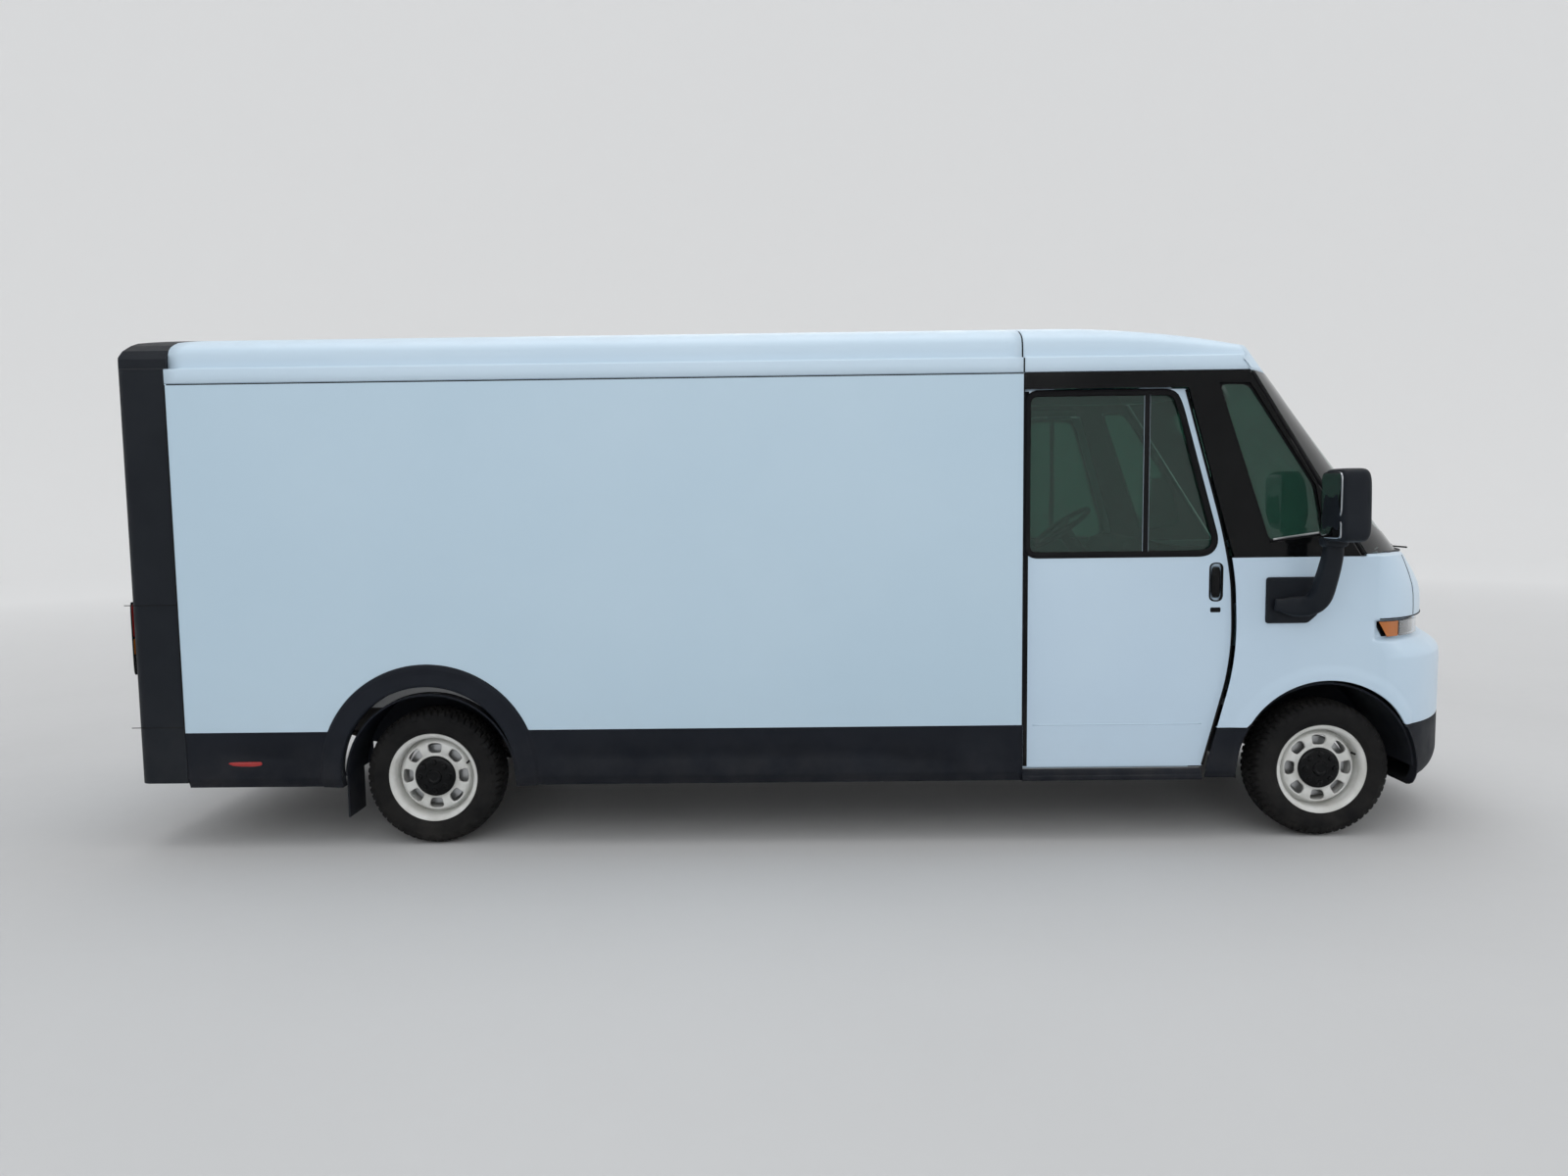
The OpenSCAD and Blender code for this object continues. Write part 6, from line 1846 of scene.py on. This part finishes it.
def make_driver_seat():
    """The driver's seat: a cushion on a moulded pan with two slide rails, and a leaning back with a shell,
    two hinge plates, posts and a head rest."""
    pivot = Vector((FRONT_X - 1.580, 0.450, 1.160))
    middle_x, middle_y = pivot.x + 0.260, pivot.y
    cushion = make_pad("driver_cushion", (middle_x, middle_y, 1.162), (0.238, 0.248, 0.047),
                       (1, 2, 0.095, 4), "seat_base_body", 0.022)
    place_solid("driver_seat_pan", (middle_x, middle_y, 1.104), (0.232, 0.240, 0.022), 5.0, "seat_base_body",
                "dash_grey", "dash_grey")
    for mark, side in (("inner", -1), ("outer", 1)):
        place_solid(f"seat_slide_rail_{mark}", (middle_x - 0.020, middle_y + side * 0.150, 1.054),
                    (0.198, 0.020, 0.034), 8.0, "seat_base_body", "frame_black", "frame_black")
        place_solid(f"seat_hinge_ear_{mark}", (pivot.x + 0.001, middle_y + side * 0.238, 1.150),
                    (0.0225, 0.005, 0.024), 5.0, "seat_base_body", "frame_black", "frame_black")
    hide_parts("seat_cushion")
    turn = Matrix.Translation(pivot) @ Matrix.Rotation(math.radians(-9), 4, "Y")
    back = make_pad("driver_back", (-0.048, 0.0, 0.350), (0.046, 0.236, 0.288), (1, 0, 0.100, 3),
                    "seat_back_body", 0.022, turn)
    place_solid("driver_back_shell", (-0.093, 0.0, 0.350), (0.016, 0.230, 0.284), 5.0, "seat_back_body",
                "dash_grey",
                "dash_grey", turn)
    make_pad("driver_head_rest", (-0.055, 0.0, 0.780), (0.039, 0.138, 0.078), (1, 0, 0.5, 1),
             "seat_back_body", 0.014, turn)
    for mark, side in (("inner", -1), ("outer", 1)):
        post = np.stack(np.broadcast_arrays(-0.060, side * 0.070, np.linspace(0.620, 0.720, 8)), axis=-1)
        rod = run_bead(f"head_rest_post_{mark}", post, 0.0068, (0, 1, 0))
        rod.data.transform(turn)
        finished(rod, "seat_back_body", "track_alu", FINISH["track_alu"])
        place_solid(f"seat_hinge_plate_{mark}", (-0.022, side * 0.215, 0.031), (0.018, 0.0055, 0.045), 5.0,
                    "seat_back_body", "frame_black", "frame_black", turn)
    pin = np.stack(np.broadcast_arrays(0.0, np.linspace(-0.243, 0.243, 20), 0.0), axis=-1)
    rod = run_bead("recline_pin", pin, 0.0118, (0, 0, 1))
    rod.data.transform(turn)
    finished(rod, "seat_back_body", "frame_black", FINISH["frame_black"])
    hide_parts("seat_back")


def make_jump_seat():
    """The folding helper's seat, tipped up against the bulkhead: a pad on a moulded board, two straps and a
    pin."""
    pivot = Vector((FRONT_X - 2.080, -0.600, 1.160))
    pad = make_pad("helper_pad", (pivot.x + 0.036, pivot.y, pivot.z + 0.2225), (0.023, 0.186, 0.193),
                   (1, 0, 0.110, 2), "jump_seat_body", 0.016)
    place_solid("helper_seat_board", (pivot.x + 0.002, pivot.y, pivot.z + 0.2225), (0.0115, 0.186, 0.194),
                6.0,
                "jump_seat_body", "dash_grey", "dash_grey")
    for mark, shift in (("inner", 0.140), ("outer", -0.140)):
        place_solid(f"helper_seat_strap_{mark}", (pivot.x, pivot.y + shift, pivot.z + 0.020),
                    (0.0078, 0.0098, 0.020),
                    5.0, "jump_seat_body", "frame_black", "frame_black")
    pin = np.stack(np.broadcast_arrays(pivot.x, pivot.y + np.linspace(-0.211, 0.211, 20), pivot.z), axis=-1)
    finished(run_bead("helper_seat_pin", pin, 0.0098, (0, 0, 1)), "jump_seat_body", "frame_black",
             FINISH["frame_black"])
    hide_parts("jump_seat")


make_driver_seat()
make_jump_seat()


# ---------------------------------------- CAD nodes keep their shape and get these finishes

def dress_nodes():
    """Every CAD node takes the finish of its record slot, apart from a few that have a finer one."""
    slot_of = {part["node"]: part["material_slot"] for part in frame["record"]["subparts"]}
    finer = {"cab_roof": "roof_white", "box_roof": "roof_white", "rear_frame": "hoop_black"}
    for name, piece in nodes.items():
        piece.data.materials.clear()
        piece.data.materials.append(FINISH[finer.get(name, slot_of[name])])


dress_nodes()
lay_floor()
place_camera()
light_studio()
